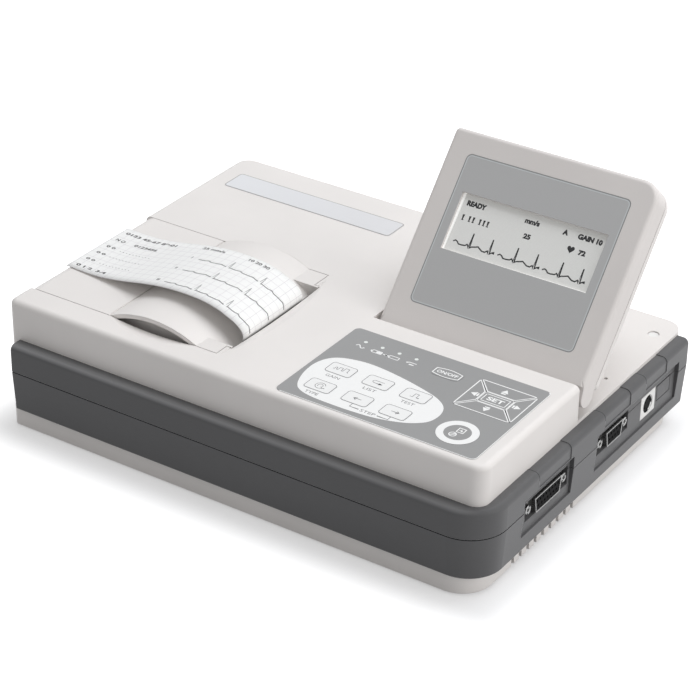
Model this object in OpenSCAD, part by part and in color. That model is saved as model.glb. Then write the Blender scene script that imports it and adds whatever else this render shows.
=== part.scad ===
// Portable electrocardiograph with a fold-back display, a paper recorder and side sockets.
// Millimetres. +X is the right side, -Y the operator's side, +Z up. The origin is the middle of
// the footprint, on the surface that the feet stand on. The display is drawn raised, as it is used.

/* [Case] */
// Overall width of the case
case_w = 280; // [256:1:312]
// Overall depth of the case
case_d = 208; // [188:1:232]
// Height of the flat top surface
top_z = 69; // [67:0.5:74]
// Wall thickness of the mouldings
wall = 2.5; // [2.2:0.1:2.8]
// Height of the split line between the two halves
split_z = 33; // [32.5:0.5:34]
// Height of the lower edge of the dark band
band_z = 11; // [10.5:0.5:12.5]
// Height of the ledge on top of the dark band
ledge_z = 48; // [46.5:0.5:48.5]
// Width of the band in front of the front wall
band_front = 7.5; // [7:0.1:8]
// Width of the band beside the right wall
band_right = 6.4; // [6:0.1:7]
// Corner radius of the band
band_r = 20; // [17:0.5:22]
// Edge rounding of the mouldings
edge_r = 3; // [2:0.25:3.5]
// How far the rubber feet stand proud of the base
foot_h = 0.8; // [0.6:0.1:1.2]
// Radius of a rubber foot
foot_r = 8; // [6:0.5:9]

/* [Display] */
// Width of the display
disp_w = 114.4; // [108:0.2:115]
// Length of the display from its hinge axis to its top edge
disp_len = 106; // [100:0.5:106]
// Thickness of the display
disp_t = 19; // [18:0.25:19.5]
// Part of the thickness that is the front bezel
bezel_t = 13; // [12:0.25:13.5]
// Depth of the hinge axis under the top surface
hinge_drop = 8; // [7.5:0.25:8]
// Angle of the display above its folded position
tilt = 48.8; // [40:0.2:50]
// Width of the display overlay
lens_w = 91; // [88:0.5:94]
// Length of the display overlay
lens_len = 78.8; // [76:0.2:80]
// Width of the screen window
screen_w = 80.8; // [76:0.2:82]
// Height of the screen window
screen_h = 30; // [28:0.5:32]
// Radius of the display hinge pins
pin_r = 2; // [1.75:0.05:2.25]

/* [Recorder] */
// Width of the recorder door along Y
door_w = 95; // [92:0.5:96]
// Distance of the recorder door's middle from the front side
door_y = 71; // [70:0.25:80]
// Distance from the left side to the end of the door tabs
door_len = 115.9; // [115:0.1:117]
// Rise of the arch above the top surface
arch_rise = 6; // [5.5:0.1:6.3]
// Chord of the arch at the top surface
arch_w = 52.2; // [51.6:0.1:53]
// Width of the paper
paper_w = 50; // [48:0.5:51]
// Thickness the paper is drawn with
paper_t = 0.2; // [0.15:0.05:0.25]
// Radius of the full paper roll
roll_r = 21; // [18:0.5:22]
// Radius of the rubber platen
platen_r = 6; // [5.8:0.1:6.1]
// Gear module of the paper drive
gear_m = 0.8; // [0.76:0.02:0.82]

/* [Keypad] */
// Width of the keypad overlay
pad_w = 108.6; // [107.5:0.1:110]
// Depth of the keypad overlay
pad_d = 70.5; // [69.5:0.1:71.5]
// Width of a plain key
key_w = 13.6; // [12:0.2:15]
// Depth of a plain key
key_d = 8.8; // [8:0.2:9.6]
// Gap around a key
key_gap = 0.3; // [0.25:0.05:0.4]
// Travel of a key
key_travel = 0.4; // [0.3:0.05:0.5]

/* [Sockets] */
// Distance between the jack screws of the patient socket
patient_pitch = 33.3; // [33:0.1:33.6]
// Distance between the jack screws of the serial socket
serial_pitch = 25; // [24.7:0.1:25.3]
// Thread radius of the jack screws
jack_r = 1.42; // [1.3:0.02:1.6]
// Radius of the earth stud
earth_r = 3; // [2.5:0.1:3.2]

/* [Fits] */
// Gap between a moving moulding and its surround
swing_gap = 0.4; // [0.35:0.05:0.5]
// Radial clearance of a pin that turns
turn_fit = 0.05; // [0.03:0.01:0.08]
// Radial clearance of a screw in its hole
screw_fit = 0.2; // [0.1:0.05:0.3]

/* [Hidden] */
$fn = 96;
eps = 0.5;

// outer faces of the case and of the light mouldings
x_l = -case_w/2;
x_r = case_w/2;
y_f = -case_d/2;
y_b = case_d/2;
side_x = x_r - band_right;
front_y = y_f + band_front;
plate_z = top_z - wall;
floor_z = foot_h + wall;
base_in = 5.5;
base_left_in = 2.5;
base_front_in = 3;
base_right_in = 6;
base_rs = [4, 16, 16, 8];
cover_rs = [4, 7, 10, 8.5];
step_z = band_z + wall;

foot_in = 22;
foot_at = [for (sx = [-1, 1], sy = [-1, 1]) [sx*(x_r - foot_in), sy*(y_b - foot_in)]];
foot_top = floor_z - 0.8;

// band ends and pockets on the right side
band_x0 = x_l + 6.4;
band_y1 = y_b - 8.8;
band_gap = 0.2;
band_draft = 1.6;
pocket_in = 2.2;
pocket_x = x_r - pocket_in;
recess_x = side_x + 0.8;
label_in = 0.4;

// corner of the keypad overlay nearest the operator's left hand
pad_x0 = x_r - 13.9 - pad_w;
pad_y0 = y_f + 12.2;

// case screws: the first five are driven from below, the last through the deck
screw_r = 1.5;
screw_head_r = 2.75;
screw_head_h = 2.6;
boss_r = 4.5;
deck_screw = [x_r - 15.8, y_b - 17];
low_screws = [[x_l + 11, front_y + 7.5], [pad_x0 - 17.5, front_y + 7.5], [side_x - 7.6, front_y + 7.5],
  [x_l + 34, y_b - 10.5], [pad_x0 - 17.5, y_b - 10.5]];
low_head_z = split_z - 10;
screw_in = 12;

// display, hinge axis along X
disp_x1 = x_r - 5.4;
disp_x0 = disp_x1 - disp_w;
disp_xm = (disp_x0 + disp_x1)/2;
hinge_in = 101.74;
hinge_y = y_f + hinge_in;
hinge_z = top_z - hinge_drop;
bay_gap = 0.5;
deck_z = top_z - disp_t - bay_gap;
bay_x0 = disp_x0 - 1.9;
knuckle_r = hinge_drop - 2;
lip_y = hinge_y - knuckle_r - 0.3;
disp_z1 = hinge_drop;
disp_zs = disp_z1 - bezel_t;
face_y = hinge_drop*tan((tilt + 12)/2) + 0.2;
back_y = sqrt(max(0, knuckle_r*knuckle_r - disp_zs*disp_zs)) + 0.7;
disp_z0 = disp_z1 - disp_t;
disp_skin = 2.2;
disp_r = 10;
lens_t = 0.6;
lens_y0 = 15.6;
screen_y0 = 45.2;
lug_w = 11;
lug_r = 5.5;
lug_foot = 4.5;
lug_xs = [disp_x0 + 24, disp_x1 - 24];
pin_over = 8;
disp_screws = [[disp_x0 + 7, 20], [disp_x1 - 7, 20], [disp_x0 + 7, disp_len - 12],
  [disp_x1 - 12, disp_len - 12]];

// recorder door, hinge axis along Y
door_y0 = y_f + door_y - door_w/2;
door_y1 = door_y0 + door_w;
barrel_r = 6;
door_pin_r = 1.25;
door_ax = x_l + barrel_r;
door_az = top_z - barrel_r;
tab_x = x_l + door_len;
slot_x = tab_x + 3.4;
slot_y0 = door_y0 + 8;
slot_y1 = door_y1 - 12;
arch_x = tab_x - 37.9;
arch_r = (arch_w*arch_w/4 + arch_rise*arch_rise)/(2*arch_rise);
arch_z = top_z + arch_rise - arch_r;
arch_t = 2.2;
arch_ri = arch_r - arch_t;
arch_x0 = arch_x - arch_w/2;
arch_x1 = arch_x + arch_w/2;
tail_drop = 6;
flange_in = 5;
lug_t = 6;

// paper path, seen from the operator's side as X and Z
paper_y = y_f + door_y - 4;
paper_y0 = paper_y - paper_w/2;
paper_y1 = paper_y + paper_w/2;
platen_x = tab_x - 8.9;
platen_z = top_z - 11.5;
shaft_r = 2;
bush_r = 3.5;
cheek_t = 3;
cheek_y0 = paper_y - 33.5;
cheek_y1 = paper_y + 33.5;
roll_x = x_l + 48;
roll_z = top_z - 31;
roll_core_r = 6;
spindle_pin_r = 2.5;
trough_r = 26;
trough_t = 2;
tray_t = 2.5;
tray_y0 = paper_y - 29.5;
tray_y1 = paper_y + 29.5;
tray_top = roll_z + 16;
tray_x0 = roll_x - 30;
tray_x1 = platen_x + 9;
tray_low = platen_z - 11.5;
strip_r = platen_r + 0.35;
nip_gap = 0.6;
head_top = platen_z - platen_r - 1;
head_t = 3.6;
head_w = 12;
shelf_top = head_top - 6.5;
shelf_t = 2;
tear_w = 6;

// paper drive
platen_n = 14;
pinion_n = 10;
gear_a = (platen_n + pinion_n)*gear_m/2;
gear_t = 4;
gear_y0 = cheek_y1 + 1;
mesh_deg = 266.9;
pinion_x = platen_x + gear_a*cos(mesh_deg);
pinion_z = platen_z + gear_a*sin(mesh_deg);
motor_r = 9.5;
motor_len = 17;
motor_shaft_r = 1;
motor_y = gear_y0 + gear_t + 1.4;
bracket_t = 2;
motor_end = motor_y + bracket_t + motor_len;

// keypad, from the overlay's corner
lay_t = 0.4;
lay_in = 0.2;
lay_top = top_z + lay_t - lay_in;
key_top = lay_top + 0.1;
flange_top = plate_z - 0.4;
flange_t = 1.6;
flange_over = 1.1;
stem_r = 1.6;
stem_len = 1.5;
dome_r = 2.4;
dome_top = flange_top - flange_t - stem_len - key_travel - 0.3;
dome_h = 0.8;
keypad_z = dome_top - dome_h;
board_t = 1.6;
post_r = 1.8;
row1_y = pad_y0 + 31.8;
row2_y = pad_y0 + 14.2;
col_x = [pad_x0 + 16.4, pad_x0 + 37.1, pad_x0 + 57.9];
power_c = [pad_x0 + 59.4, pad_y0 + 57.3];
power_w = 15;
power_d = 7.6;
nav_c = [pad_x0 + 90.4, pad_y0 + 49.2];
nav_w = 30.6;
nav_d = 26.6;
nav_r = 2;
menu_w = 15;
menu_d = 8.8;
start_c = [pad_x0 + 90.4, pad_y0 + 15.5];
start_r = 9.8;
light_xs = [pad_x0 + 11.4, pad_x0 + 21, pad_x0 + 30.6, pad_x0 + 40.2];
light_y = pad_y0 + 60.5;
light_r = 1;
post_y = [pad_y0 + 4, pad_y0 + 68];
post_at = [[pad_x0 + 3, post_y[0]], [pad_x0 + 3, post_y[1]], [pad_x0 + 47, post_y[1]],
  [pad_x0 + 100.5, post_y[1]], [pad_x0 + 77, post_y[0]]];

// boards, sockets and power inlet
main_z = split_z - 11;
main_x0 = tray_x1 + 16;
main_x1 = side_x - 3.6;
main_y0 = front_y + 13.5;
main_y1 = y_b - 22;
main_top = main_z + board_t;
post_in = 4;
main_posts = [for (x = [main_x0 + post_in, (main_x0 + main_x1)/2, main_x1 - post_in - 1],
  y = [main_y0 + post_in, main_y1 - post_in]) [x, y]];
socket_z = main_top + 6.2;
patient_c = [y_f + 60.3, socket_z];
serial_c = [y_b - 83, socket_z];
aux_c = [y_b - 45.8, main_top + 4];
patient_w = 39.2;
serial_w = 30.8;
flange_h = 12.5;
window_h = 10.4;
shell_h = 8.4;
shell_out = 4.6;
aux_w = 15;
aux_h = 12.6;
aux_r = 4.8;
aux_x0 = main_x1 + 0.4;
power_y0 = y_b - 89;
power_y1 = y_b - 5;
power_in = 9.5;
power_t = 1.6;
power_z = step_z + 19.5;
inlet_y = y_b - 51;
rocker_y = y_b - 21;
earth_y = y_b - 78;
battery = [[x_r - 118, x_r - 42], [y_b - 82, y_b - 36], main_z - floor_z - 2.7];
hatch = [[battery[0][0] - 4, battery[0][1] + 4], [battery[1][0] - 5, battery[1][1] + 5]];
supply = [[x_l + 34, x_l + 114], [motor_end + 5.1, y_b - 18], floor_z + 4.7];
name_x = [x_l + 11.8, x_l + 117.8];
name_y = [y_b - 36.3, y_b - 19.6];
name_in = 0.3;

// a block between two corners
module span(x, y, z) translate([x[0], y[0], z[0]]) cube([x[1] - x[0], y[1] - y[0], z[1] - z[0]]);
// a flat shape drawn in Y and Z, drawn out along X
module along_x(x0, x1) translate([x0, 0, 0]) rotate([90, 0, 90]) linear_extrude(x1 - x0) children();
// a flat shape drawn in X and Z, drawn out along Y
module along_y(y0, y1) translate([0, y1, 0]) rotate([90, 0, 0]) linear_extrude(y1 - y0) children();
// round bars along X and along Y
module rod_x(y, z, r, x) translate([x[0], y, z]) rotate([0, 90, 0]) cylinder(h = x[1] - x[0], r = r);
module rod_y(x, z, r, y) translate([x, y[1], z]) rotate([90, 0, 0]) cylinder(h = y[1] - y[0], r = r);
module rod_z(p, r, z) translate([p[0], p[1], z[0]]) cylinder(h = z[1] - z[0], r = r);

// the waste left outside a rounded corner
module corner_waste(r) difference() {
  translate([-1, -1]) square(r + 1);
  translate([r, r]) circle(r);
}
// a rectangle with its own radius at each corner, counted from the front left corner
module plan(x, y, r) difference() {
  translate([x[0], y[0]]) square([x[1] - x[0], y[1] - y[0]]);
  if (r[0] > 0) translate([x[0], y[0]]) corner_waste(r[0]);
  if (r[1] > 0) translate([x[1], y[0]]) mirror([1, 0]) corner_waste(r[1]);
  if (r[2] > 0) translate([x[1], y[1]]) rotate(180) corner_waste(r[2]);
  if (r[3] > 0) translate([x[0], y[1]]) mirror([0, 1]) corner_waste(r[3]);
}
module slab(x, y, z, r) translate([0, 0, z[0]]) linear_extrude(z[1] - z[0]) plan(x, y, [r, r, r, r]);
// the section of a rounded edge: u runs in from the outer face
module edge_section(u, h, e) difference() {
  square([u, h]);
  translate([0, h]) mirror([0, 1]) corner_waste(e);
}
// a block with rounded upright corners and a rounded top edge
module round_block(x, y, z, r, e) {
  h = z[1] - z[0];
  d = max(r);
  translate([0, 0, z[0]]) {
    translate([x[0] + d, y[0] + d, 0]) cube([x[1] - x[0] - 2*d, y[1] - y[0] - 2*d, h]);
    translate([0, y[0], 0]) along_x(x[0] + r[0], x[1] - r[1]) edge_section(d, h, e);
    translate([0, y[1], 0]) mirror([0, 1, 0]) along_x(x[0] + r[3], x[1] - r[2]) edge_section(d, h, e);
    translate([x[0], 0, 0]) along_y(y[0] + r[0], y[1] - r[3]) edge_section(d, h, e);
    translate([x[1], 0, 0]) mirror([1, 0, 0]) along_y(y[0] + r[1], y[1] - r[2]) edge_section(d, h, e);
    translate([x[0] + r[0], y[0] + r[0], 0]) rotate(180) round_corner(r[0], h, e);
    translate([x[1] - r[1], y[0] + r[1], 0]) rotate(270) round_corner(r[1], h, e);
    translate([x[1] - r[2], y[1] - r[2], 0]) round_corner(r[2], h, e);
    translate([x[0] + r[3], y[1] - r[3], 0]) rotate(90) round_corner(r[3], h, e);
  }
}
module round_corner(r, h, e) rotate_extrude(angle = 90) difference() {
  square([r, h]);
  translate([r, h]) rotate(180) corner_waste(e);
}

// the light mouldings seen from above
module case_plan(in) plan([x_l + in, side_x - in], [front_y + in, y_b - in],
  [cover_rs[0] - in, cover_rs[1] - in, cover_rs[2] - in, cover_rs[3] - in]);

// the narrower tub under it
module tub_plan(in) plan([x_l + base_left_in + in, x_r - base_right_in - in],
  [y_f + base_front_in + in, y_b - base_in - in],
  [base_rs[0] - in, base_rs[1] - in, base_rs[2] - in, base_rs[3] - in]);

// cut-outs on the right side, shared by the case and the bands
module socket_cuts() {
  span([recess_x, x_r + 1], [patient_c[0] - patient_w/2 - 0.3, patient_c[0] + patient_w/2 + 0.3],
    [patient_c[1] - window_h/2, patient_c[1] + window_h/2]);
  span([recess_x, x_r + 1], [serial_c[0] - serial_w/2 - 0.3, serial_c[0] + serial_w/2 + 0.3],
    [serial_c[1] - window_h/2, serial_c[1] + window_h/2]);
  span([side_x - wall - 1, recess_x],
    [patient_c[0] - patient_w/2 - 0.3, patient_c[0] + patient_w/2 + 0.3],
    [patient_c[1] - flange_h/2 - 0.3, patient_c[1] + flange_h/2 + 0.3]);
  span([side_x - wall - 1, recess_x], [serial_c[0] - serial_w/2 - 0.3, serial_c[0] + serial_w/2 + 0.3],
    [serial_c[1] - flange_h/2 - 0.3, serial_c[1] + flange_h/2 + 0.3]);
  span([side_x - wall - 1, x_r + 1], [aux_c[0] - aux_w/2 - 0.2, aux_c[0] + aux_w/2 + 0.2],
    [aux_c[1] - aux_h/2 - 0.2, aux_c[1] + aux_h/2 + 0.2]);
}
// shallow pockets around the sockets and the outline of a blanked-off opening
module side_pockets() {
  span([pocket_x, x_r + 1], [patient_c[0] - 24.7, patient_c[0] + 21.9],
    [socket_z - 10.8, socket_z + 9.7]);
  span([pocket_x, x_r + 1], [serial_c[0] - 19.6, aux_c[0] + 28], [socket_z - 11.8, socket_z + 9.2]);
  difference() {
    span([pocket_x - label_in, pocket_x + 1], [aux_c[0] + 9, aux_c[0] + 23.4],
      [socket_z - 5.5, socket_z + 3.8]);
    span([pocket_x - 1, pocket_x + 2], [aux_c[0] + 9.5, aux_c[0] + 22.9], [socket_z - 5, socket_z + 3.3]);
  }
}
// opening of the power panel on the left side
module power_opening() span([x_l - 1, x_l + power_in], [power_y0 + 3, power_y1 - 3],
  [power_z - 15, power_z + 15]);

// fixed case
module base_shell() color([0.86, 0.85, 0.84]) difference() {
  union() {
    difference() {
      union() {
        translate([0, 0, foot_h]) linear_extrude(band_z - foot_h) tub_plan(0);
        translate([0, 0, band_z]) linear_extrude(split_z - band_z) case_plan(0);
      }
      translate([0, 0, floor_z]) linear_extrude(band_z - wall - floor_z) tub_plan(wall);
      translate([0, 0, floor_z]) linear_extrude(step_z + eps - floor_z) intersection() {
        tub_plan(wall);
        case_plan(wall);
      }
      translate([0, 0, step_z]) linear_extrude(split_z) case_plan(wall);
    }
    for (p = low_screws) rod_z(p, boss_r, [floor_z - eps, split_z]);
    rod_z(deck_screw, boss_r, [floor_z - eps, split_z]);
    for (p = main_posts) rod_z(p, 3, [floor_z - eps, main_z]);
    for (x = [supply[0][0] + 5, supply[0][1] - 5], y = [supply[1][0] + 5, supply[1][1] - 5])
      rod_z([x, y], 3, [floor_z - eps, supply[2]]);
    span([x_l + wall - eps, x_l + power_in], [power_y0, power_y1], [step_z - eps, split_z]);
  }
  for (p = low_screws) {
    rod_z(p, screw_head_r + screw_fit, [foot_h - 1, low_head_z]);
    rod_z(p, screw_r + screw_fit, [foot_h - 1, split_z + 1]);
  }
  rod_z(deck_screw, screw_r, [split_z - screw_in, split_z + 1]);
  for (p = foot_at) rod_z(p, foot_r, [foot_h - 1, foot_top]);
  span([hatch[0][0], hatch[0][1]], [hatch[1][0], hatch[1][1]], [foot_h - 1, floor_z + 1]);
  for (i = [0 : 8]) span([x_r - base_right_in - wall - 1, x_r], [y_f + 37 + i*7, y_f + 39.6 + i*7],
    [foot_h - 1, band_z - 1.6]);
  socket_cuts();
  power_opening();
}

module lower_profile() polygon([[5, band_z], [band_r - band_draft, band_z], [band_r, split_z - band_gap],
  [5, split_z - band_gap]]);
module upper_profile() translate([band_r, split_z + band_gap]) mirror([1, 0])
  edge_section(band_r - 5, ledge_z - split_z - band_gap, edge_r);
module upper_inner_profile() translate([band_r - label_in, split_z + band_gap]) mirror([1, 0])
  edge_section(band_r - 5, ledge_z - label_in - split_z - band_gap, edge_r - label_in);

// a section drawn along the front and right sides, outside the light mouldings
module band_sweep() difference() {
  union() {
    translate([0, y_f + band_r, 0]) mirror([0, 1, 0]) along_x(band_x0, x_r - band_r) children();
    translate([x_r - band_r, y_f + band_r, 0]) rotate(270) rotate_extrude(angle = 90) children();
    translate([x_r - band_r, 0, 0]) along_y(y_f + band_r, band_y1) children();
  }
  translate([0, 0, band_z - 1]) linear_extrude(top_z) case_plan(0);
}
module lower_band() color([0.33, 0.33, 0.34]) difference() {
  band_sweep() lower_profile();
  socket_cuts();
  side_pockets();
}
// bare label fields run over the ledge above each socket
module label_field(y, w) translate([x_r - band_r, 0, 0]) along_y(y - w/2, y + w/2) difference() {
  translate([5, split_z + 7]) square([band_r, ledge_z]);
  upper_inner_profile();
}
module upper_band() color([0.33, 0.33, 0.34]) difference() {
  band_sweep() upper_profile();
  socket_cuts();
  side_pockets();
  label_field(patient_c[0] + 3.7, 30);
  label_field(serial_c[0], 26);
  label_field(aux_c[0] + 2.8, 22);
}

// the hollow that the display folds into
module display_bay() along_x(bay_x0, x_r + 1) translate([lip_y, deck_z]) square([case_d, top_z]);
module cover_hollow() {
  translate([0, 0, split_z - 1]) linear_extrude(deck_z - wall - split_z + 1) case_plan(wall);
  translate([0, 0, split_z - 1]) linear_extrude(plate_z - split_z + 1) intersection() {
    case_plan(wall);
    union() {
      translate([x_l, front_y]) square([bay_x0 - wall - x_l, case_d]);
      translate([x_l, front_y]) square([case_w, lip_y - wall - front_y]);
    }
  }
}
module door_opening() {
  span([door_ax, tab_x + swing_gap], [door_y0 - swing_gap, door_y1 + swing_gap],
    [plate_z - 1, top_z + 1]);
  span([x_l - 1, door_ax + 1], [door_y0 - swing_gap, door_y1 + swing_gap], [door_az, top_z + 1]);
  rod_y(door_ax, door_az, barrel_r + swing_gap, [door_y0 - swing_gap, door_y1 + swing_gap]);
  span([tab_x - 1, slot_x], [slot_y0, slot_y1], [plate_z - 1, top_z + 1]);
}
// a fine groove on the left and rear sides, where the cover meets the base
module parting_groove() translate([0, 0, split_z - 1]) linear_extrude(1 + 1.5*band_gap) difference() {
  translate([x_l - 1, front_y - 1]) square([case_w + 2, case_d]);
  case_plan(0.8);
}
// a shallow scoop at the origin: deepest at Y 0, running out at the top surface towards -Y
module scoop(half, deep, run) {
  r = (half*half + deep*deep)/(2*deep);
  translate([0, 0, -deep]) rotate([90 - atan(deep/run), 0, 0]) translate([0, r, -1])
    cylinder(h = 4*run, r = r);
}
module key_outline(c, w, d, r, grow) plan([c[0] - w/2 - grow, c[0] + w/2 + grow],
  [c[1] - d/2 - grow, c[1] + d/2 + grow], [r + grow, r + grow, r + grow, r + grow]);
module key_holes(grow) {
  for (x = col_x, y = [row1_y, row2_y]) key_outline([x, y], key_w, key_d, 1.5, grow);
  key_outline(power_c, power_w, power_d, 2.5, grow);
  key_outline(nav_c, nav_w, nav_d, nav_r, grow);
  translate(start_c) circle(start_r + grow);
  for (x = light_xs) translate([x, light_y]) circle(light_r + 0.1);
}
module top_cover() color([0.92, 0.91, 0.90]) difference() {
  union() {
    difference() {
      round_block([x_l, side_x], [front_y, y_b], [split_z, top_z], cover_rs, edge_r);
      cover_hollow();
      parting_groove();
    }
    for (p = low_screws) rod_z(p, boss_r, [split_z, plate_z + eps]);
    rod_z(deck_screw, boss_r, [split_z, deck_z]);
    for (p = post_at) rod_z(p, post_r, [keypad_z, plate_z + eps]);
    for (y = [door_y0 - swing_gap - lug_t, door_y1 + swing_gap])
      span([x_l + wall - eps, door_ax + barrel_r], [y, y + lug_t], [door_az - barrel_r, plate_z + eps]);
    span([x_l + wall - eps, x_l + power_in], [power_y0, power_y1], [split_z, power_z + 19]);
  }
  display_bay();
  door_opening();
  translate([slot_x, (slot_y0 + slot_y1)/2, top_z]) rotate(90) scoop(door_w*0.44, 1.5, 6);
  translate([arch_x, door_y0 - swing_gap, top_z]) scoop(arch_w/2, 1.6, 8);
  translate([arch_x, door_y1 + swing_gap, top_z]) rotate(180) scoop(arch_w/2, 1.6, 8);
  rod_y(door_ax, door_az, door_pin_r, [door_y0 - lug_t, door_y1 + lug_t]);
  slab(name_x, name_y, [top_z - name_in, top_z + 1], 2);
  slab([pad_x0, pad_x0 + pad_w], [pad_y0, pad_y0 + pad_d], [top_z - lay_in, top_z + 1], 3);
  translate([0, 0, plate_z - 1]) linear_extrude(wall + 2) key_holes(key_gap);
  for (p = low_screws) rod_z(p, screw_r, [split_z - 1, split_z + screw_in]);
  rod_z(deck_screw, screw_head_r + screw_fit, [deck_z - screw_head_h - 0.6, deck_z + 1]);
  rod_z(deck_screw, screw_r + screw_fit, [split_z - 1, deck_z]);
  rod_z([x_r - 14.6, y_b - 69.4], 1, [deck_z - wall - 1, deck_z + 1]);
  for (x = lug_xs) span([x - lug_w/2, x + lug_w/2], [hinge_y - lug_foot, hinge_y + lug_foot],
    [deck_z - wall - 1, hinge_z]);
  socket_cuts();
  power_opening();
}

module name_plate() color([0.85, 0.87, 0.90])
  slab([name_x[0] + 0.1, name_x[1] - 0.1], [name_y[0] + 0.1, name_y[1] - 0.1],
    [top_z - name_in, top_z + 0.2], 1.9);

module battery_cover() color([0.84, 0.83, 0.82]) union() {
  span([hatch[0][0] + 0.3, hatch[0][1] - 0.3], [hatch[1][0] + 0.3, hatch[1][1] - 0.3],
    [foot_h, floor_z]);
  for (x = [hatch[0][0] - 3.5, hatch[0][1] - 1]) span([x, x + 4.5],
    [(hatch[1][0] + hatch[1][1])/2 - 7, (hatch[1][0] + hatch[1][1])/2 + 7], [floor_z, floor_z + 1.6]);
}
module battery_pack() color([0.20, 0.32, 0.52])
  slab(battery[0], battery[1], [floor_z, floor_z + battery[2]], 3);
module rubber_feet() color([0.15, 0.15, 0.15]) for (p = foot_at) rod_z(p, foot_r, [0, foot_top]);
module case_screws() color([0.60, 0.60, 0.62]) {
  for (p = low_screws) {
    rod_z(p, screw_head_r, [low_head_z - screw_head_h, low_head_z]);
    rod_z(p, screw_r, [low_head_z, split_z + screw_in - 1]);
  }
  rod_z(deck_screw, screw_head_r, [deck_z - screw_head_h - 0.6, deck_z - 0.6]);
  rod_z(deck_screw, screw_r, [split_z - screw_in + 1, deck_z - screw_head_h - 0.6]);
}

// keypad
module keypad_overlay() color([0.58, 0.58, 0.58]) difference() {
  slab([pad_x0 + 0.1, pad_x0 + pad_w - 0.1], [pad_y0 + 0.1, pad_y0 + pad_d - 0.1],
    [top_z - lay_in, lay_top], 2.9);
  translate([0, 0, top_z - 1]) linear_extrude(3) key_holes(key_gap);
}
module keypad_board() color([0.10, 0.40, 0.22]) {
  difference() {
    span([pad_x0, pad_x0 + 103.5], [post_y[0] - 3, post_y[1] + 3], [keypad_z - board_t, keypad_z]);
    rod_z(low_screws[2], boss_r + 1, [keypad_z - 5, keypad_z + 5]);
  }
  for (x = col_x, y = [row1_y, row2_y]) rod_z([x, y], dome_r, [keypad_z, dome_top]);
  for (p = [power_c, nav_c, start_c]) rod_z(p, dome_r, [keypad_z, dome_top]);
  for (s = [-1, 1]) {
    rod_z([nav_c[0] + s*side_stem, nav_c[1]], dome_r, [keypad_z, dome_top]);
    rod_z([nav_c[0], nav_c[1] + s*long_stem], dome_r, [keypad_z, dome_top]);
  }
}
module status_lights() color([0.75, 0.85, 0.75]) for (x = light_xs) {
  rod_z([x, light_y], light_r, [keypad_z, lay_top]);
  rod_z([x, light_y], light_r + 0.6, [keypad_z, keypad_z + 2]);
}
// a key: cap in its opening, flange under the plate, stem over its dome
module key_body(c, w, d, r) {
  translate([0, 0, flange_top]) linear_extrude(key_top - flange_top) key_outline(c, w, d, r, 0);
  translate([0, 0, flange_top - flange_t]) linear_extrude(flange_t)
    key_outline(c, w, d, r, key_gap + flange_over);
  rod_z(c, stem_r, [flange_top - flange_t - stem_len, flange_top]);
}
module plain_key(i, y) color([0.90, 0.90, 0.89]) key_body([col_x[i], y], key_w, key_d, 1.5);
module key_a1() plain_key(0, row1_y);
module key_a2() plain_key(1, row1_y);
module key_a3() plain_key(2, row1_y);
module key_b1() plain_key(0, row2_y);
module key_b2() plain_key(1, row2_y);
module key_b3() plain_key(2, row2_y);
module key_power() color([0.58, 0.58, 0.58]) key_body(power_c, power_w, power_d, 2.5);
module key_start() color([0.58, 0.58, 0.58]) {
  rod_z(start_c, start_r, [flange_top, key_top]);
  rod_z(start_c, start_r + key_gap + flange_over, [flange_top - flange_t, flange_top]);
  rod_z(start_c, stem_r, [flange_top - flange_t - stem_len, flange_top]);
}
module key_menu() color([0.58, 0.58, 0.58]) {
  translate([0, 0, flange_top - flange_t]) linear_extrude(key_top - flange_top + flange_t)
    key_outline(nav_c, menu_w, menu_d, 1, 0);
  rod_z(nav_c, stem_r, [flange_top - flange_t - stem_len, flange_top]);
}
// one direction key: a trapezium between the pad's edge and the menu key, with a flange under the plate
module nav_key(a, far, near, half_far, half_near, stem) color([0.58, 0.58, 0.58]) {
  translate([0, 0, flange_top - flange_t]) linear_extrude(key_top - flange_top + flange_t) intersection() {
    translate(nav_c) rotate(a)
      polygon([[near, -half_near], [far, -half_far], [far, half_far], [near, half_near]]);
    key_outline(nav_c, nav_w, nav_d, nav_r, 0);
  }
  translate([nav_c[0], nav_c[1], 0]) rotate(a) {
    span([far - 1, far + key_gap + flange_over], [-half_far + nav_r, half_far - nav_r],
      [flange_top - flange_t, flange_top]);
    rod_z([stem, 0], stem_r, [flange_top - flange_t - stem_len, flange_top]);
  }
}
nav_split = 0.5;
nav_near = 2*key_gap;
side_stem = 11;
long_stem = 9;
module side_key(a) nav_key(a, nav_w/2, menu_w/2 + nav_near,
  nav_d/2 - nav_split, menu_d/2 - nav_split/4, side_stem);
module long_key(a) nav_key(a, nav_d/2, menu_d/2 + nav_near,
  nav_w/2 - nav_split, menu_w/2 - nav_split/4, long_stem);
module key_right() side_key(0);
module key_left() side_key(180);
module key_up() long_key(90);
module key_down() long_key(270);

// display, drawn folded with the hinge axis at Y 0 and Z 0, then raised
module raised() translate([0, hinge_y, hinge_z]) rotate([tilt, 0, 0]) children();
module lug_notches() for (x = lug_xs) along_x(x - lug_w/2 - bay_gap, x + lug_w/2 + bay_gap) {
  circle(lug_r + bay_gap);
  polygon([[5, 0], [5, -14], [-14, -14], [-14, 1.8], [-8.4, 1.8], [-2.2, 5], [0, 5]]);
}
module screen_span(grow, z) span([disp_xm - screen_w/2 - grow, disp_xm + screen_w/2 + grow],
  [screen_y0 - grow, screen_y0 + screen_h + grow], z);
module lens_slab(in, z) slab([disp_xm - lens_w/2 + in, disp_xm + lens_w/2 - in],
  [lens_y0 + in, lens_y0 + lens_len - in], z, 3 - in);
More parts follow.
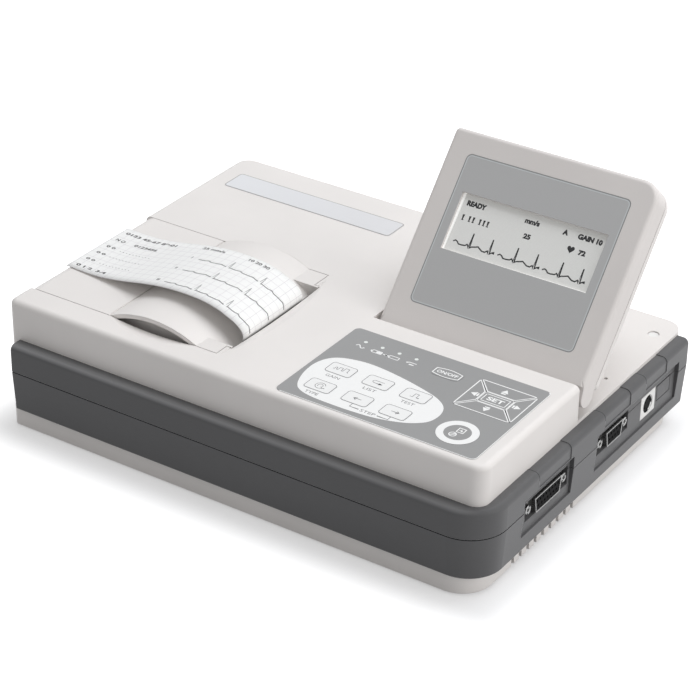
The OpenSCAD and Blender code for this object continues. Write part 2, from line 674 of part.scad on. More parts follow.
// the display's lower end: a round knuckle on the hinge axis, led smoothly into the front face
function touch(p, side) = atan2(p[1], p[0]) + side*acos(knuckle_r/norm(p));
function on_knuckle(a) = knuckle_r*[cos(a), sin(a)];
module knuckle() {
  front = [face_y, disp_z1];
  rear = [face_y, disp_zs + 0.5];
  circle(knuckle_r);
  polygon([[0, 0], on_knuckle(touch(rear, -1)), rear, front, on_knuckle(touch(front, 1))]);
}
module bezel_block(z0) round_block([disp_x0, disp_x1], [-14, disp_len], [z0, disp_z1],
  [2.5, 2.5, disp_r, 2.5], 2.2);
// a fine groove where the bezel meets the back
module seam_groove() translate([0, 0, disp_zs - 1]) linear_extrude(1.4) difference() {
  translate([disp_x0 - 1, face_y + 1]) square([disp_w + 2, disp_len]);
  plan([disp_x0 + 0.5, disp_x1 - 0.5], [0, disp_len - 0.5], [2, 2, disp_r - 0.5, 2]);
}
module display_bezel() color([0.80, 0.79, 0.78]) raised() difference() {
  union() {
    difference() {
      bezel_block(disp_zs);
      span([disp_x0 - 1, disp_x1 + 1], [-20, face_y], [disp_zs - 1, disp_z1 + 1]);
      span([disp_x0 + wall, disp_x1 - wall], [10, disp_len - 12], [disp_zs - 1, disp_z1 - disp_skin]);
      span([disp_x0 + wall, disp_x1 - 12], [10, disp_len - wall], [disp_zs - 1, disp_z1 - disp_skin]);
    }
    intersection() {
      bezel_block(-knuckle_r - 1);
      along_x(disp_x0 - 1, disp_x1 + 1) knuckle();
    }
    for (p = disp_screws) rod_z(p, 3, [disp_zs, disp_z1 - 1]);
  }
  seam_groove();
  lens_slab(0, [disp_z1 - lens_t, disp_z1 + 1]);
  screen_span(0, [disp_z1 - disp_skin - 1, disp_z1 + 1]);
  for (x = lug_xs) rod_x(0, 0, pin_r, [x - lug_w/2 - pin_over, x + lug_w/2 + pin_over]);
  for (p = disp_screws) rod_z(p, 1, [disp_zs - 1, disp_zs + 7]);
  lug_notches();
}
module display_back() color([0.90, 0.89, 0.88]) raised() difference() {
  translate([0, 0, disp_zs]) mirror([0, 0, 1])
    round_block([disp_x0, disp_x1], [back_y, disp_len], [0, disp_t - bezel_t],
      [3.2, 3.2, disp_r, 3.2], 3);
  span([disp_x0 + wall, disp_x1 - wall], [hinge_drop + 4, disp_len - 12],
    [disp_z0 + disp_skin, disp_zs + 1]);
  span([disp_x0 + wall, disp_x1 - 12], [hinge_drop + 4, disp_len - wall], [disp_z0 + disp_skin, disp_zs + 1]);
  for (p = disp_screws) rod_z(p, 2.2, [disp_z0 - 1, disp_z0 + 1.2]);
  for (p = disp_screws) rod_z(p, 1.2, [disp_z0 - 1, disp_zs + 1]);
  lug_notches();
}
module display_overlay() color([0.62, 0.62, 0.62]) raised() difference() {
  lens_slab(0.1, [disp_z1 - lens_t, disp_z1]);
  screen_span(0, [disp_z1 - 2, disp_z1 + 1]);
}
module screen_panel() color([0.82, 0.83, 0.81]) raised()
  screen_span(5, [disp_z1 - disp_skin - 3, disp_z1 - disp_skin]);
module screen_board() color([0.10, 0.40, 0.22]) raised() union() {
  board_top = disp_z1 - disp_skin - 3;
  span([disp_x0 + 9, disp_x1 - 9], [24, disp_len - 18], [board_top - board_t, board_top]);
  span([disp_x0 + 30, disp_x0 + 46], [30, 44], [board_top - 3.4, board_top - 1]);
  span([disp_x0 + 60, disp_x0 + 90], [28, 34], [board_top - 4.4, board_top - 1]);
}
module display_screws() color([0.60, 0.60, 0.62]) raised() for (p = disp_screws) {
  rod_z(p, 2.1, [disp_z0 + 0.1, disp_z0 + 1.2]);
  rod_z(p, 1, [disp_z0 + 1.2, disp_zs + 6]);
}
module display_pins() color([0.70, 0.70, 0.72]) raised()
  for (x = lug_xs) rod_x(0, 0, pin_r, [x - lug_w/2 - pin_over, x + lug_w/2 + pin_over]);
module hinge_brackets() color([0.66, 0.66, 0.68]) for (x = lug_xs) difference() {
  union() {
    rod_x(hinge_y, hinge_z, lug_r, [x - lug_w/2, x + lug_w/2]);
    span([x - lug_w/2, x + lug_w/2], [hinge_y - lug_foot, hinge_y + lug_foot],
      [deck_z - wall - 1, hinge_z]);
    span([x - lug_w/2 - 6, x + lug_w/2 + 6], [hinge_y - 6, hinge_y + 14],
      [deck_z - wall - 2, deck_z - wall]);
  }
  rod_x(hinge_y, hinge_z, pin_r + turn_fit, [x - lug_w, x + lug_w]);
}

// recorder door
module arch_ring() translate([arch_x, arch_z]) difference() {
  circle(arch_r, $fn = 180);
  circle(arch_ri, $fn = 180);
}
module under_arch() translate([arch_x, arch_z]) circle(arch_ri + 1, $fn = 180);
module cheek_section() intersection() {
  under_arch();
  polygon([[platen_x - 13, top_z], [platen_x - 13, platen_z], [platen_x - 5, platen_z - 5],
    [platen_x + 4.6, platen_z - 5], [platen_x + 4.6, platen_z + 4.5], [platen_x + 1, top_z]]);
}
// closes an end of the slot, between the tab and the tail of the arch
module slot_end() difference() {
  translate([arch_x1 - 1.4, top_z - tail_drop])
    square([slot_x - 1.5*swing_gap - arch_x1 + 1.4, tail_drop]);
  translate([arch_x, arch_z]) circle((arch_r + arch_ri)/2, $fn = 180);
}
module recorder_door() color([0.92, 0.91, 0.90]) difference() {
  union() {
    rod_y(door_ax, door_az, barrel_r, [door_y0, door_y1]);
    span([door_ax, arch_x0 - 1], [door_y0, door_y1], [plate_z, top_z]);
    along_y(door_y0, door_y1) intersection() {
      arch_ring();
      translate([arch_x - 60, plate_z]) square([120, 40]);
    }
    along_y(slot_y0 + swing_gap, slot_y1 - swing_gap) intersection() {
      arch_ring();
      translate([arch_x, top_z - tail_drop]) square([60, 40]);
    }
    span([arch_x1 - 1.4, tab_x], [door_y0, slot_y0 + swing_gap + 1], [plate_z, top_z]);
    span([arch_x1 - 1.4, tab_x], [slot_y1 - swing_gap - 1, door_y1], [plate_z, top_z]);
    for (y = [slot_y0 + swing_gap, slot_y1 - swing_gap - 1.2]) along_y(y, y + 1.2) slot_end();
    for (y = [door_y0 + flange_in, door_y1 - flange_in - 2]) along_y(y, y + 2) intersection() {
      under_arch();
      translate([arch_x0 + 1, plate_z - 4]) square([arch_w - 4, 40]);
    }
    along_y(cheek_y0, cheek_y0 + cheek_t) cheek_section();
    along_y(cheek_y1 - cheek_t, cheek_y1) cheek_section();
  }
  rod_y(door_ax, door_az, door_pin_r + turn_fit, [door_y0 - 1, door_y1 + 1]);
  rod_y(platen_x, platen_z, bush_r, [cheek_y0 - 1, cheek_y0 + cheek_t + 1]);
  rod_y(platen_x, platen_z, bush_r, [cheek_y1 - cheek_t - 1, cheek_y1 + 1]);
}
module door_pin() color([0.70, 0.70, 0.72])
  rod_y(door_ax, door_az, door_pin_r, [door_y0 - lug_t, door_y1 + lug_t]);
module platen_bushes() color([0.72, 0.58, 0.30]) for (y = [cheek_y0, cheek_y1 - cheek_t]) difference() {
  rod_y(platen_x, platen_z, bush_r, [y, y + cheek_t]);
  rod_y(platen_x, platen_z, shaft_r + turn_fit, [y - 1, y + cheek_t + 1]);
}
module platen_roller() color([0.18, 0.18, 0.19]) difference() {
  rod_y(platen_x, platen_z, platen_r, [paper_y0 - 2, paper_y1 + 2]);
  rod_y(platen_x, platen_z, shaft_r, [paper_y0 - 3, paper_y1 + 3]);
}
module platen_shaft() color([0.70, 0.70, 0.72])
  rod_y(platen_x, platen_z, shaft_r, [cheek_y0 - 1, gear_y0 + gear_t]);

// a spur gear drawn in X and Z, with one tooth at the given angle
function tooth_half(r, n) = (0.38*PI*gear_m/2 - (r - n*gear_m/2)*tan(20))/r*180/PI;
function tooth(n, at, i) =
  let(a = at + i*360/n, root = n*gear_m/2 - 1.25*gear_m, tip = n*gear_m/2 + 0.85*gear_m)
  [[root, a - tooth_half(root, n)], [tip, a - tooth_half(tip, n)], [tip, a + tooth_half(tip, n)],
    [root, a + tooth_half(root, n)]];
module gear(n, at) polygon([for (i = [0 : n - 1], q = tooth(n, at, i)) [q[0]*cos(q[1]), q[0]*sin(q[1])]]);
module platen_gear() color([0.88, 0.86, 0.80]) difference() {
  translate([platen_x, 0, platen_z]) along_y(gear_y0, gear_y0 + gear_t)
    gear(platen_n, mesh_deg + 180/platen_n);
  rod_y(platen_x, platen_z, shaft_r, [gear_y0 - 1, gear_y0 + gear_t + 1]);
}
module motor_pinion() color([0.76, 0.62, 0.34]) {
  translate([pinion_x, 0, pinion_z]) along_y(gear_y0, gear_y0 + gear_t) gear(pinion_n, mesh_deg - 180);
  rod_y(pinion_x, pinion_z, motor_shaft_r, [gear_y0, motor_y + bracket_t + 6]);
}
module feed_motor() color([0.62, 0.62, 0.64]) difference() {
  rod_y(pinion_x, pinion_z, motor_r, [motor_y + bracket_t, motor_end]);
  rod_y(pinion_x, pinion_z, motor_shaft_r + turn_fit, [motor_y, motor_y + bracket_t + 8]);
}

// paper: roll, web to the print line, and the strip that leaves the slot and lies over the door
module paper_roll() color([0.97, 0.97, 0.96]) difference() {
  rod_y(roll_x, roll_z, roll_r, [paper_y0, paper_y1]);
  rod_y(roll_x, roll_z, roll_core_r, [paper_y0 - 1, paper_y1 + 1]);
}
module paper_spindle() color([0.30, 0.30, 0.32]) union() {
  rod_y(roll_x, roll_z, roll_core_r, [tray_y0 + tray_t + 0.4, tray_y1 - tray_t - 0.4]);
  rod_y(roll_x, roll_z, spindle_pin_r, [tray_y0 - 0.5, tray_y1 + 0.5]);
}
nip = [platen_x + 1, platen_z - platen_r - nip_gap];
web_r = roll_r + 0.4;
web_d = norm([nip[0] - roll_x, nip[1] - roll_z]);
web_deg = atan2(nip[1] - roll_z, nip[0] - roll_x) + acos(web_r/web_d);
web_from = [roll_x + web_r*cos(web_deg), roll_z + web_r*sin(web_deg)];
web_n = [cos(web_deg), sin(web_deg)]*paper_t/2;
module paper_web() color([0.97, 0.97, 0.96]) along_y(paper_y0, paper_y1)
  polygon([web_from - web_n, nip - web_n, nip + web_n, web_from + web_n]);

// middle line of the strip: around the platen, up through the slot, over the arch to the left side
strip_wrap = [for (a = [-60 : 12 : 12]) [platen_x + strip_r*cos(a), platen_z + strip_r*sin(a)]];
strip_free = [for (q = [[-1.7, -7.3], [-0.5, -5.6], [0.9, -3.7], [1.8, -2.1], [2.35, -0.4], [2.3, 1.6],
  [1.4, 3.4], [-0.2, 5], [-2.5, 6.5], [-5, 7.6], [-8.4, 8.8], [-13, 10.3], [-19, 11.4], [-26, 11.9],
  [-34, 11.8], [-43, 11.1], [-53, 9.7], [-65, 7.1], [-78, 4], [-90, 1.8], [-101, 0.75], [-114, 0.45]])
  [tab_x + q[0], top_z + q[1]]];
strip = concat(strip_wrap, strip_free);
strip_last = len(strip) - 1;
function strip_dir(i) = let(d = strip[min(i + 1, strip_last)] - strip[max(i - 1, 0)]) d/norm(d);
function strip_side(i, s) = strip[i] + s*paper_t/2*[-strip_dir(i)[1], strip_dir(i)[0]];
// the strip leaves the slot a little askew, towards the rear
strip_skew = 0.075;
module paper_strip() color([0.98, 0.98, 0.97])
  multmatrix([[1, 0, 0, 0], [-strip_skew, 1, 0, strip_skew*slot_x], [0, 0, 1, 0], [0, 0, 0, 1]])
  along_y(paper_y0, paper_y1)
  polygon([for (i = [0 : strip_last]) strip_side(i, 1), for (i = [strip_last : -1 : 0]) strip_side(i, -1)]);

// recorder tray, print head and tear bar
module tray_cheek() difference() {
  polygon([[tray_x0, floor_z], [tray_x1, floor_z], [tray_x1, tray_low], [platen_x - 11, tray_low],
    [platen_x - 18, tray_top], [tray_x0, tray_top]]);
  translate([roll_x, roll_z]) circle(spindle_pin_r + turn_fit);
  translate([roll_x - spindle_pin_r - turn_fit, roll_z]) square([2*(spindle_pin_r + turn_fit), 40]);
}
module recorder_tray() color([0.75, 0.75, 0.74]) difference() {
  union() {
    along_y(tray_y0, tray_y0 + tray_t) tray_cheek();
    along_y(tray_y1 - tray_t, tray_y1) tray_cheek();
    along_y(tray_y0 + tray_t - eps, tray_y1 - tray_t + eps) difference() {
      translate([roll_x, roll_z]) circle(trough_r + trough_t);
      translate([roll_x, roll_z]) circle(trough_r);
      translate([roll_x - 40, roll_z + 6]) square([80, 40]);
    }
    span([platen_x - 11, tray_x1], [tray_y0 + tray_t - eps, tray_y1 - tray_t + eps],
      [shelf_top - shelf_t, shelf_top]);
    span([pinion_x - 14, pinion_x + 12], [motor_y, motor_y + bracket_t], [floor_z, pinion_z + 9.5]);
    span([pinion_x - 14, pinion_x + 12], [tray_y1 - eps, motor_y + eps], [floor_z, floor_z + 3]);
  }
  rod_y(pinion_x, pinion_z, motor_shaft_r + 1, [motor_y - 1, motor_y + bracket_t + 1]);
}
module print_head() color([0.80, 0.80, 0.78])
  span([platen_x - head_w/2, platen_x + head_w/2], [paper_y0 - 1.5, paper_y1 + 1.5],
    [head_top - head_t, head_top]);
module head_spring() color([0.70, 0.70, 0.72]) along_y(paper_y - 15, paper_y + 15)
  translate([platen_x, shelf_top])
    polygon([[-8, 0], [-7, 0], [0, 2.3], [7, 0], [8, 0], [8, 0.6], [7, 0.6], [0, 2.9], [-7, 0.6], [-8, 0.6]]);
module tear_bar() color([0.74, 0.74, 0.76])
  span([slot_x - 0.2, slot_x + tear_w], [slot_y0 + 1, slot_y1 - 1], [plate_z - 0.8, plate_z]);

// boards
module main_board() color([0.10, 0.42, 0.24]) union() {
  span([main_x0, main_x1], [main_y0, main_y1], [main_z, main_top]);
  span([main_x0 + 28, main_x0 + 56], [main_y0 + 53, main_y0 + 81], [main_top - eps, main_top + 2.4]);
  span([main_x0 + 64, main_x0 + 82], [main_y0 + 63, main_y0 + 77], [main_top - eps, main_top + 1.8]);
  span([main_x1 - 44, main_x1 - 18], [patient_c[0] - 20, patient_c[0] + 20], [main_top - eps, main_top + 9]);
  for (y = [44, 58, 72]) rod_z([main_x0 + 28, main_y1 - y], 4, [main_top - eps, main_top + 10]);
  span([main_x0 + 8, main_x0 + 16], [main_y0 + 23, main_y0 + 63], [main_top - eps, main_top + 6]);
}
module power_supply() color([0.14, 0.36, 0.22]) union() {
  span(supply[0], supply[1], [supply[2], supply[2] + board_t]);
  span([supply[0][0] + 24, supply[0][0] + 54], [supply[1][0] + 10, supply[1][1] - 12],
    [supply[2] + 1, supply[2] + 27]);
  rod_z([supply[0][1] - 12, supply[1][0] + 12], 8, [supply[2] + 1, supply[2] + 26]);
  span([supply[0][1] - 18, supply[0][1] - 8], [supply[1][0] + 22, supply[1][1] - 8],
    [supply[2] + 1, supply[2] + 24]);
}

// sockets on the right side
module dee(w, h, in) polygon([[-w/2 + in, h/2 - in], [w/2 - in, h/2 - in],
  [w/2 - in - (h - 2*in)*tan(10), -h/2 + in], [-w/2 + in + (h - 2*in)*tan(10), -h/2 + in]]);
module socket_shell(c, w, pitch) translate([0, c[0], c[1]]) difference() {
  union() {
    span([recess_x - 1, recess_x], [-w/2, w/2], [-flange_h/2, flange_h/2]);
    along_x(recess_x - 1, recess_x + shell_out) dee(pitch - 8.3, shell_h, 0);
  }
  along_x(recess_x - 2, recess_x + shell_out + 1) dee(pitch - 8.3, shell_h, 0.5);
  for (s = [-1, 1]) rod_x(s*pitch/2, 0, jack_r + 0.15, [recess_x - 2, recess_x + 1]);
}
module socket_shells() color([0.74, 0.74, 0.76]) {
  socket_shell(patient_c, patient_w, patient_pitch);
  socket_shell(serial_c, serial_w, serial_pitch);
}
module socket_insert(c, w, pitch, n) translate([0, c[0], c[1]]) difference() {
  union() {
    along_x(recess_x - 2, recess_x + shell_out - 0.4) dee(pitch - 8.3, shell_h, 0.5);
    span([recess_x - 11, recess_x - 1], [-w/2 + 6, w/2 - 6], [main_top - c[1], 5.5]);
  }
  for (i = [0 : n]) rod_x((i - n/2)*2.76, 1.4, 0.55, [recess_x, recess_x + shell_out]);
  for (i = [0 : n - 1]) rod_x((i - (n - 1)/2)*2.76, -1.4, 0.55, [recess_x, recess_x + shell_out]);
}
module socket_inserts() color([0.12, 0.12, 0.13]) {
  socket_insert(patient_c, patient_w, patient_pitch, 7);
  socket_insert(serial_c, serial_w, serial_pitch, 4);
  aux_insert();
}
module jack_screw(c, y) translate([0, c[0] + y, c[1]]) difference() {
  rod_x(0, 0, 2.4, [recess_x, recess_x + 3.4]);
  rod_x(0, 0, jack_r, [recess_x - 1, recess_x + 4]);
}
module jack_screws() color([0.78, 0.78, 0.80]) for (s = [-1, 1]) {
  jack_screw(patient_c, s*patient_pitch/2);
  jack_screw(serial_c, s*serial_pitch/2);
}
module aux_socket() color([0.93, 0.93, 0.92]) translate([0, aux_c[0], aux_c[1]]) difference() {
  union() {
    span([side_x, pocket_x], [-aux_w/2, aux_w/2], [-aux_h/2, aux_h/2]);
    span([side_x - 9, side_x + 1], [-aux_w/2, aux_w/2], [main_top - aux_c[1], aux_h/2]);
  }
  rod_x(0, 0, aux_r, [aux_x0, x_r]);
}
module aux_insert() translate([0, aux_c[0], aux_c[1]]) difference() {
  rod_x(0, 0, aux_r, [aux_x0, pocket_x - 0.4]);
  for (a = [30 : 60 : 330]) rod_x(2.9*cos(a), 2.9*sin(a), 0.5, [side_x, x_r]);
  span([side_x + 1, x_r], [-1.1, 1.1], [aux_r - 1.5, aux_r + 1]);
}

// power panel on the left side
panel_x = x_l + power_in;
module power_panel() color([0.60, 0.60, 0.62]) difference() {
  span([panel_x, panel_x + power_t], [power_y0 + 0.5, power_y1 - 0.5], [power_z - 17.5, power_z + 17.5]);
  span([panel_x - 1, panel_x + 3], [inlet_y - 13.7, inlet_y + 13.7], [power_z - 10.1, power_z + 10.1]);
  span([panel_x - 1, panel_x + 3], [rocker_y - 11, rocker_y + 11], [power_z - 6.6, power_z + 6.6]);
  rod_x(earth_y, power_z - 8, earth_r, [panel_x - 1, panel_x + 3]);
}
module mains_inlet() color([0.10, 0.10, 0.11]) difference() {
  union() {
    span([panel_x - 2, panel_x], [inlet_y - 15.4, inlet_y + 15.4], [power_z - 11.3, power_z + 11.3]);
    span([panel_x - 1, panel_x + 18], [inlet_y - 13.6, inlet_y + 13.6], [power_z - 10, power_z + 10]);
  }
  along_x(panel_x - 3, panel_x + 15) translate([inlet_y, power_z])
    difference() {
      polygon([[-12, -8], [12, -8], [12, 3.5], [7.5, 8], [-7.5, 8], [-12, 3.5]]);
      for (q = [[-7, -2], [7, -2], [0, 2]]) translate(q) square([2, 4], center = true);
    }
  span([panel_x - 3, panel_x + 1.5], [inlet_y - 9, inlet_y + 9], [power_z - 5, power_z + 5]);
}
module earth_stud() color([0.76, 0.76, 0.78]) union() {
  rod_x(earth_y, power_z - 8, earth_r, [panel_x - 8, panel_x + 5]);
  rod_x(earth_y, power_z - 8, earth_r + 1.6, [panel_x - 2, panel_x]);
}
// mains switch: the rocker turns on an upright pin
rocker_deg = 8;
rocker_x = panel_x + 3;
rocker_in = 10.3;
module switch_housing() color([0.12, 0.12, 0.13]) difference() {
  union() {
    span([panel_x - 1.4, panel_x], [rocker_y - 12.6, rocker_y + 12.6], [power_z - 8, power_z + 8]);
    span([panel_x - 1, panel_x + 15], [rocker_y - 10.9, rocker_y + 10.9], [power_z - 6.5, power_z + 6.5]);
  }
  span([panel_x - 3, panel_x + 12], [rocker_y - rocker_in, rocker_y + rocker_in], [power_z - 5, power_z + 5]);
  rod_z([rocker_x, rocker_y], 1 + turn_fit, [power_z - 6, power_z + 6]);
}
module rocker() color([0.75, 0.20, 0.15]) translate([rocker_x, rocker_y, 0]) rotate(rocker_deg) union() {
  translate([0, 0, power_z - 4.6]) linear_extrude(9.2)
    polygon([[-4.6, 0], [-3.4, 8.6], [2.5, 8.6], [4, 0], [2.5, -8.6], [-3.4, -8.6]]);
  rod_z([0, 0], 1, [power_z - 5.8, power_z + 5.8]);
}

base_shell();
lower_band();
upper_band();
top_cover();
name_plate();
battery_cover();
battery_pack();
rubber_feet();
case_screws();
keypad_overlay();
keypad_board();
status_lights();
key_a1();
key_a2();
key_a3();
key_b1();
key_b2();
key_b3();
key_power();
key_start();
key_menu();
key_right();
key_left();
key_up();
key_down();
display_bezel();
display_back();
display_overlay();
screen_panel();
screen_board();
display_screws();
display_pins();
hinge_brackets();
recorder_door();
door_pin();
platen_bushes();
platen_roller();
platen_shaft();
platen_gear();
motor_pinion();
feed_motor();
paper_roll();
paper_spindle();
paper_web();
paper_strip();
recorder_tray();
print_head();
head_spring();
tear_bar();
main_board();
power_supply();
socket_shells();
socket_inserts();
jack_screws();
aux_socket();
power_panel();
mains_inlet();
earth_stud();
switch_housing();
rocker();
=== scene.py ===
import math

import bmesh
import bpy
from mathutils import Matrix, Vector
from mathutils.geometry import tessellate_polygon


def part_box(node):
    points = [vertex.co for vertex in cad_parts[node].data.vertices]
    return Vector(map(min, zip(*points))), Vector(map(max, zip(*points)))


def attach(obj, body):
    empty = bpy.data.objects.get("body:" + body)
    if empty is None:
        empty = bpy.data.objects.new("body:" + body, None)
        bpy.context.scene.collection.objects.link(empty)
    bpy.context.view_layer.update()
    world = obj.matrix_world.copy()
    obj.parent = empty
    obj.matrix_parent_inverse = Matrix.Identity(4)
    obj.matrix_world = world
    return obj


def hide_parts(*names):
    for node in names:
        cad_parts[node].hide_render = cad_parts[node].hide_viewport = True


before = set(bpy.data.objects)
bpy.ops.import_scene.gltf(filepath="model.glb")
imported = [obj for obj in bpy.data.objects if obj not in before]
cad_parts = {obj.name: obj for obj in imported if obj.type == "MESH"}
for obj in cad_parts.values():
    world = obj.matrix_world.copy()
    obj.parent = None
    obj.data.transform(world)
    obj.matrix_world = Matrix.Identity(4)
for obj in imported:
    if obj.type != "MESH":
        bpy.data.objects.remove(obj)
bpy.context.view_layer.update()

# Base shell, top cover, recorder door, display back and battery cover: the light mouldings of the case,
# injection moulded in off-white styrene with a fine satin texture, closed with screws from below.
MM = 0.001


def shade(red, green, blue):
    """A colour as the eye reads it, 0 to 255 each, as the share of light that it sends back."""
    parts = [v / 255 for v in (red, green, blue)]
    return [v / 12.92 if v <= 0.04045 else ((v + 0.055) / 1.055) ** 2.4 for v in parts] + [1.0]


def tone(colour, share):
    """The same colour, lighter or darker."""
    return [min(1.0, v * share) for v in colour[:3]] + [1.0]


def fill(tree, node, inputs):
    """Fills the inputs of a node with values, or links them to other nodes."""
    for key, value in inputs.items():
        if isinstance(value, bpy.types.NodeSocket):
            tree.links.new(value, node.inputs[key])
        else:
            node.inputs[key].default_value = value


def wire(tree, kind, inputs=None, **settings):
    """A node of a finish, with its settings made and its inputs filled or linked."""
    node = tree.nodes.new(kind)
    for key, value in settings.items():
        setattr(node, key, value)
    fill(tree, node, inputs or {})
    return node


def noise(tree, where, scale, detail):
    """Cloudy spots, so many to the metre."""
    spots = wire(tree, "ShaderNodeTexNoise", {"Vector": where, "Scale": scale, "Detail": detail})
    return spots.outputs["Fac"]


def two_tones(tree, factor, low, high, start=0.3, end=0.7):
    """A ramp between two colours."""
    ramp = wire(tree, "ShaderNodeValToRGB", {"Fac": factor})
    for stop, place, colour in zip(ramp.color_ramp.elements, (start, end), (low, high)):
        stop.position = place
        stop.color = colour
    return ramp.outputs["Color"]


def blend(tree, factor, low, high):
    """A colour that goes from one colour or pattern to another with the factor."""
    return wire(tree, "ShaderNodeMix", {"Factor": factor, 6: low, 7: high}, data_type="RGBA").outputs[2]


def between(tree, value, low, high, first=0.0, last=1.0):
    """A number that runs from low to high while the value runs from first to last."""
    return wire(tree, "ShaderNodeMapRange", {"Value": value, "From Min": first, "From Max": last,
                                             "To Min": low, "To Max": high}).outputs["Result"]


def new_finish(name):
    """An empty finish: its tree, its surface and the place on the object that its patterns follow."""
    finish = bpy.data.materials.new(name)
    finish.use_nodes = True
    tree = finish.node_tree
    return finish, tree, tree.nodes["Principled BSDF"], wire(tree, "ShaderNodeTexCoord").outputs["Object"]


def moulded(name, colour, rough, pebble=0.45, depth=0.05, wear_and_highlight=1.05, soften=0.35, sheen=0.4, dust=0.0):
    """Textured moulding: cloudy colour, a pebbled gloss, edges softened and painted lighter, as slight wear
    and a painted highlight.

    Pebble and soften are in millimetres. Dust is how much the texture pales when it is seen from low down.
    """
    finish, tree, skin, where = new_finish(name)
    cloud = two_tones(tree, noise(tree, where, 19.0, 3.0), tone(colour, 0.97), tone(colour, 1.02))
    soft = wire(tree, "ShaderNodeBevel", {"Radius": soften * MM}, samples=4).outputs["Normal"]
    flat = wire(tree, "ShaderNodeNewGeometry").outputs["Normal"]
    bend = wire(tree, "ShaderNodeVectorMath", {0: soft, 1: flat}, operation="DOT_PRODUCT").outputs["Value"]
    edge = between(tree, bend, 1.0, 0.0, 0.75, 0.99)
    grain = noise(tree, where, 1 / (pebble * MM), 2.0)
    bump = wire(tree, "ShaderNodeBump", {"Height": grain, "Normal": soft, "Strength": depth,
                                         "Distance": 0.0002})
    # The edge mask paints rounded edges lighter: a painted highlight, with a little wear.
    fill(tree, skin, {"Base Color": blend(tree, edge, cloud, tone(colour, wear_and_highlight)),
                      "Roughness": between(tree, grain, rough - 0.06, rough + 0.06),
                      "Normal": bump.outputs["Normal"], "Specular IOR Level": sheen,
                      "Sheen Weight": dust, "Sheen Roughness": 0.35})
    return finish


def dress(finish, *nodes):
    """Gives a finish to solids of the frame."""
    for node in nodes:
        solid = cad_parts[node]
        if not solid.material_slots:
            solid.data.materials.append(finish)
        for place in solid.material_slots:
            place.material = finish


case_light = moulded("case_light", shade(234, 230, 227), 0.5)
dress(case_light, "base_shell", "top_cover", "recorder_door", "display_back", "battery_cover")

# Keypad overlay: printed polyester film over the key tops, grey with a white egg-shaped field for the
# six plain keys, thin printed lines and signs, and a white line painted along its right and front edges as a
# highlight.
def loop(width, depth, radius, at=(0.0, 0.0)):
    """The outline of a rectangle with rounded corners, in millimetres."""
    points, steps = [], 6
    for turn, (sx, sy) in enumerate(((1, 1), (-1, 1), (-1, -1), (1, -1))):
        for i in range(steps + 1):
            a = math.radians(90 * turn + 90 * i / steps)
            points.append((at[0] + sx * (width / 2 - radius) + radius * math.cos(a),
                           at[1] + sy * (depth / 2 - radius) + radius * math.sin(a)))
    return points


def arc(radius, first, last, at=(0.0, 0.0), steps=32):
    """Points along a round line, angles in degrees."""
    turns = [math.radians(first + (last - first) * i / steps) for i in range(steps + 1)]
    return [(at[0] + radius * math.cos(a), at[1] + radius * math.sin(a)) for a in turns]


def curve(a, b, c, d, t):
    """The point at a share t of the way from b to c, on a smooth line by way of a, b, c and d."""
    return 0.5 * (2 * b + (c - a) * t + (2 * a - 5 * b + 4 * c - d) * t * t
                  + (3 * b - a - 3 * c + d) * t ** 3)


def line(points, width, closed=False, inward=0.0, reach=9.0):
    """A printed line of even width along points, as flat quads.

    Inward moves it to its left, and reach is how far its corners may stand out to the right of the points.
    """
    count = len(points)
    sides = []
    for i, p in enumerate(points):
        a = points[i - 1] if i or closed else p
        b = points[(i + 1) % count] if i < count - 1 or closed else p
        ins, out = Vector(p) - Vector(a), Vector(b) - Vector(p)
        ins, out = (ins or out).normalized(), (out or ins).normalized()
        middle = (ins + out).normalized() if (ins + out).length > 0.2 else out
        side = Vector((-middle.y, middle.x)) / max(0.45, middle.dot(out))
        outer = side * (inward - width / 2)
        outer *= min(1.0, reach / max(outer.length, 1e-6))
        sides.append((Vector(p) + side * (inward + width / 2), Vector(p) + outer))
    pairs = list(zip(sides, sides[1:] + sides[:1]))
    return [[p[0], p[1], q[1], q[0]] for p, q in (pairs if closed else pairs[:-1])]


def field(outline, *holes):
    """A filled outline with holes, as flat triangles."""
    rings = [[Vector((x, y, 0)) for x, y in points] for points in (outline, *holes)]
    flat = [v for points in rings for v in points]
    return [[flat[i].xy for i in corner] for corner in tessellate_polygon(rings)]


def words(text, height, at, heavy=0.0, width=None):
    """Plain upright lettering, as flat triangles: its height and, if given, its width in millimetres."""
    letters = bpy.data.curves.new("letters", "FONT")
    letters.body, letters.offset, letters.align_x, letters.align_y = text, heavy, "CENTER", "CENTER"
    holder = bpy.data.objects.new("letters", letters)
    bpy.context.scene.collection.objects.link(holder)
    bpy.context.view_layer.update()
    cut = bpy.data.meshes.new_from_object(holder.evaluated_get(bpy.context.evaluated_depsgraph_get()))
    xs, ys = [v.co.x for v in cut.vertices], [v.co.y for v in cut.vertices]
    up = height / (max(ys) - min(ys))
    wide = width / (max(xs) - min(xs)) if width else up
    middle = (max(xs) + min(xs)) / 2, (max(ys) + min(ys)) / 2
    spots = [Vector((at[0] + (x - middle[0]) * wide, at[1] + (y - middle[1]) * up)) for x, y in zip(xs, ys)]
    shapes = [[spots[i] for i in face.vertices] for face in cut.polygons]
    bpy.data.objects.remove(holder)
    bpy.data.curves.remove(letters)
    bpy.data.meshes.remove(cut)
    return shapes


def piece(name, made, finish, body):
    """A piece of its own from a built mesh, riding on a body of the part."""
    mesh = bpy.data.meshes.new(name)
    made.to_mesh(mesh)
    made.free()
    thing = bpy.data.objects.new(name, mesh)
    bpy.context.scene.collection.objects.link(thing)
    mesh.materials.append(finish)
    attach(thing, body)
    return thing


INK = 0.02


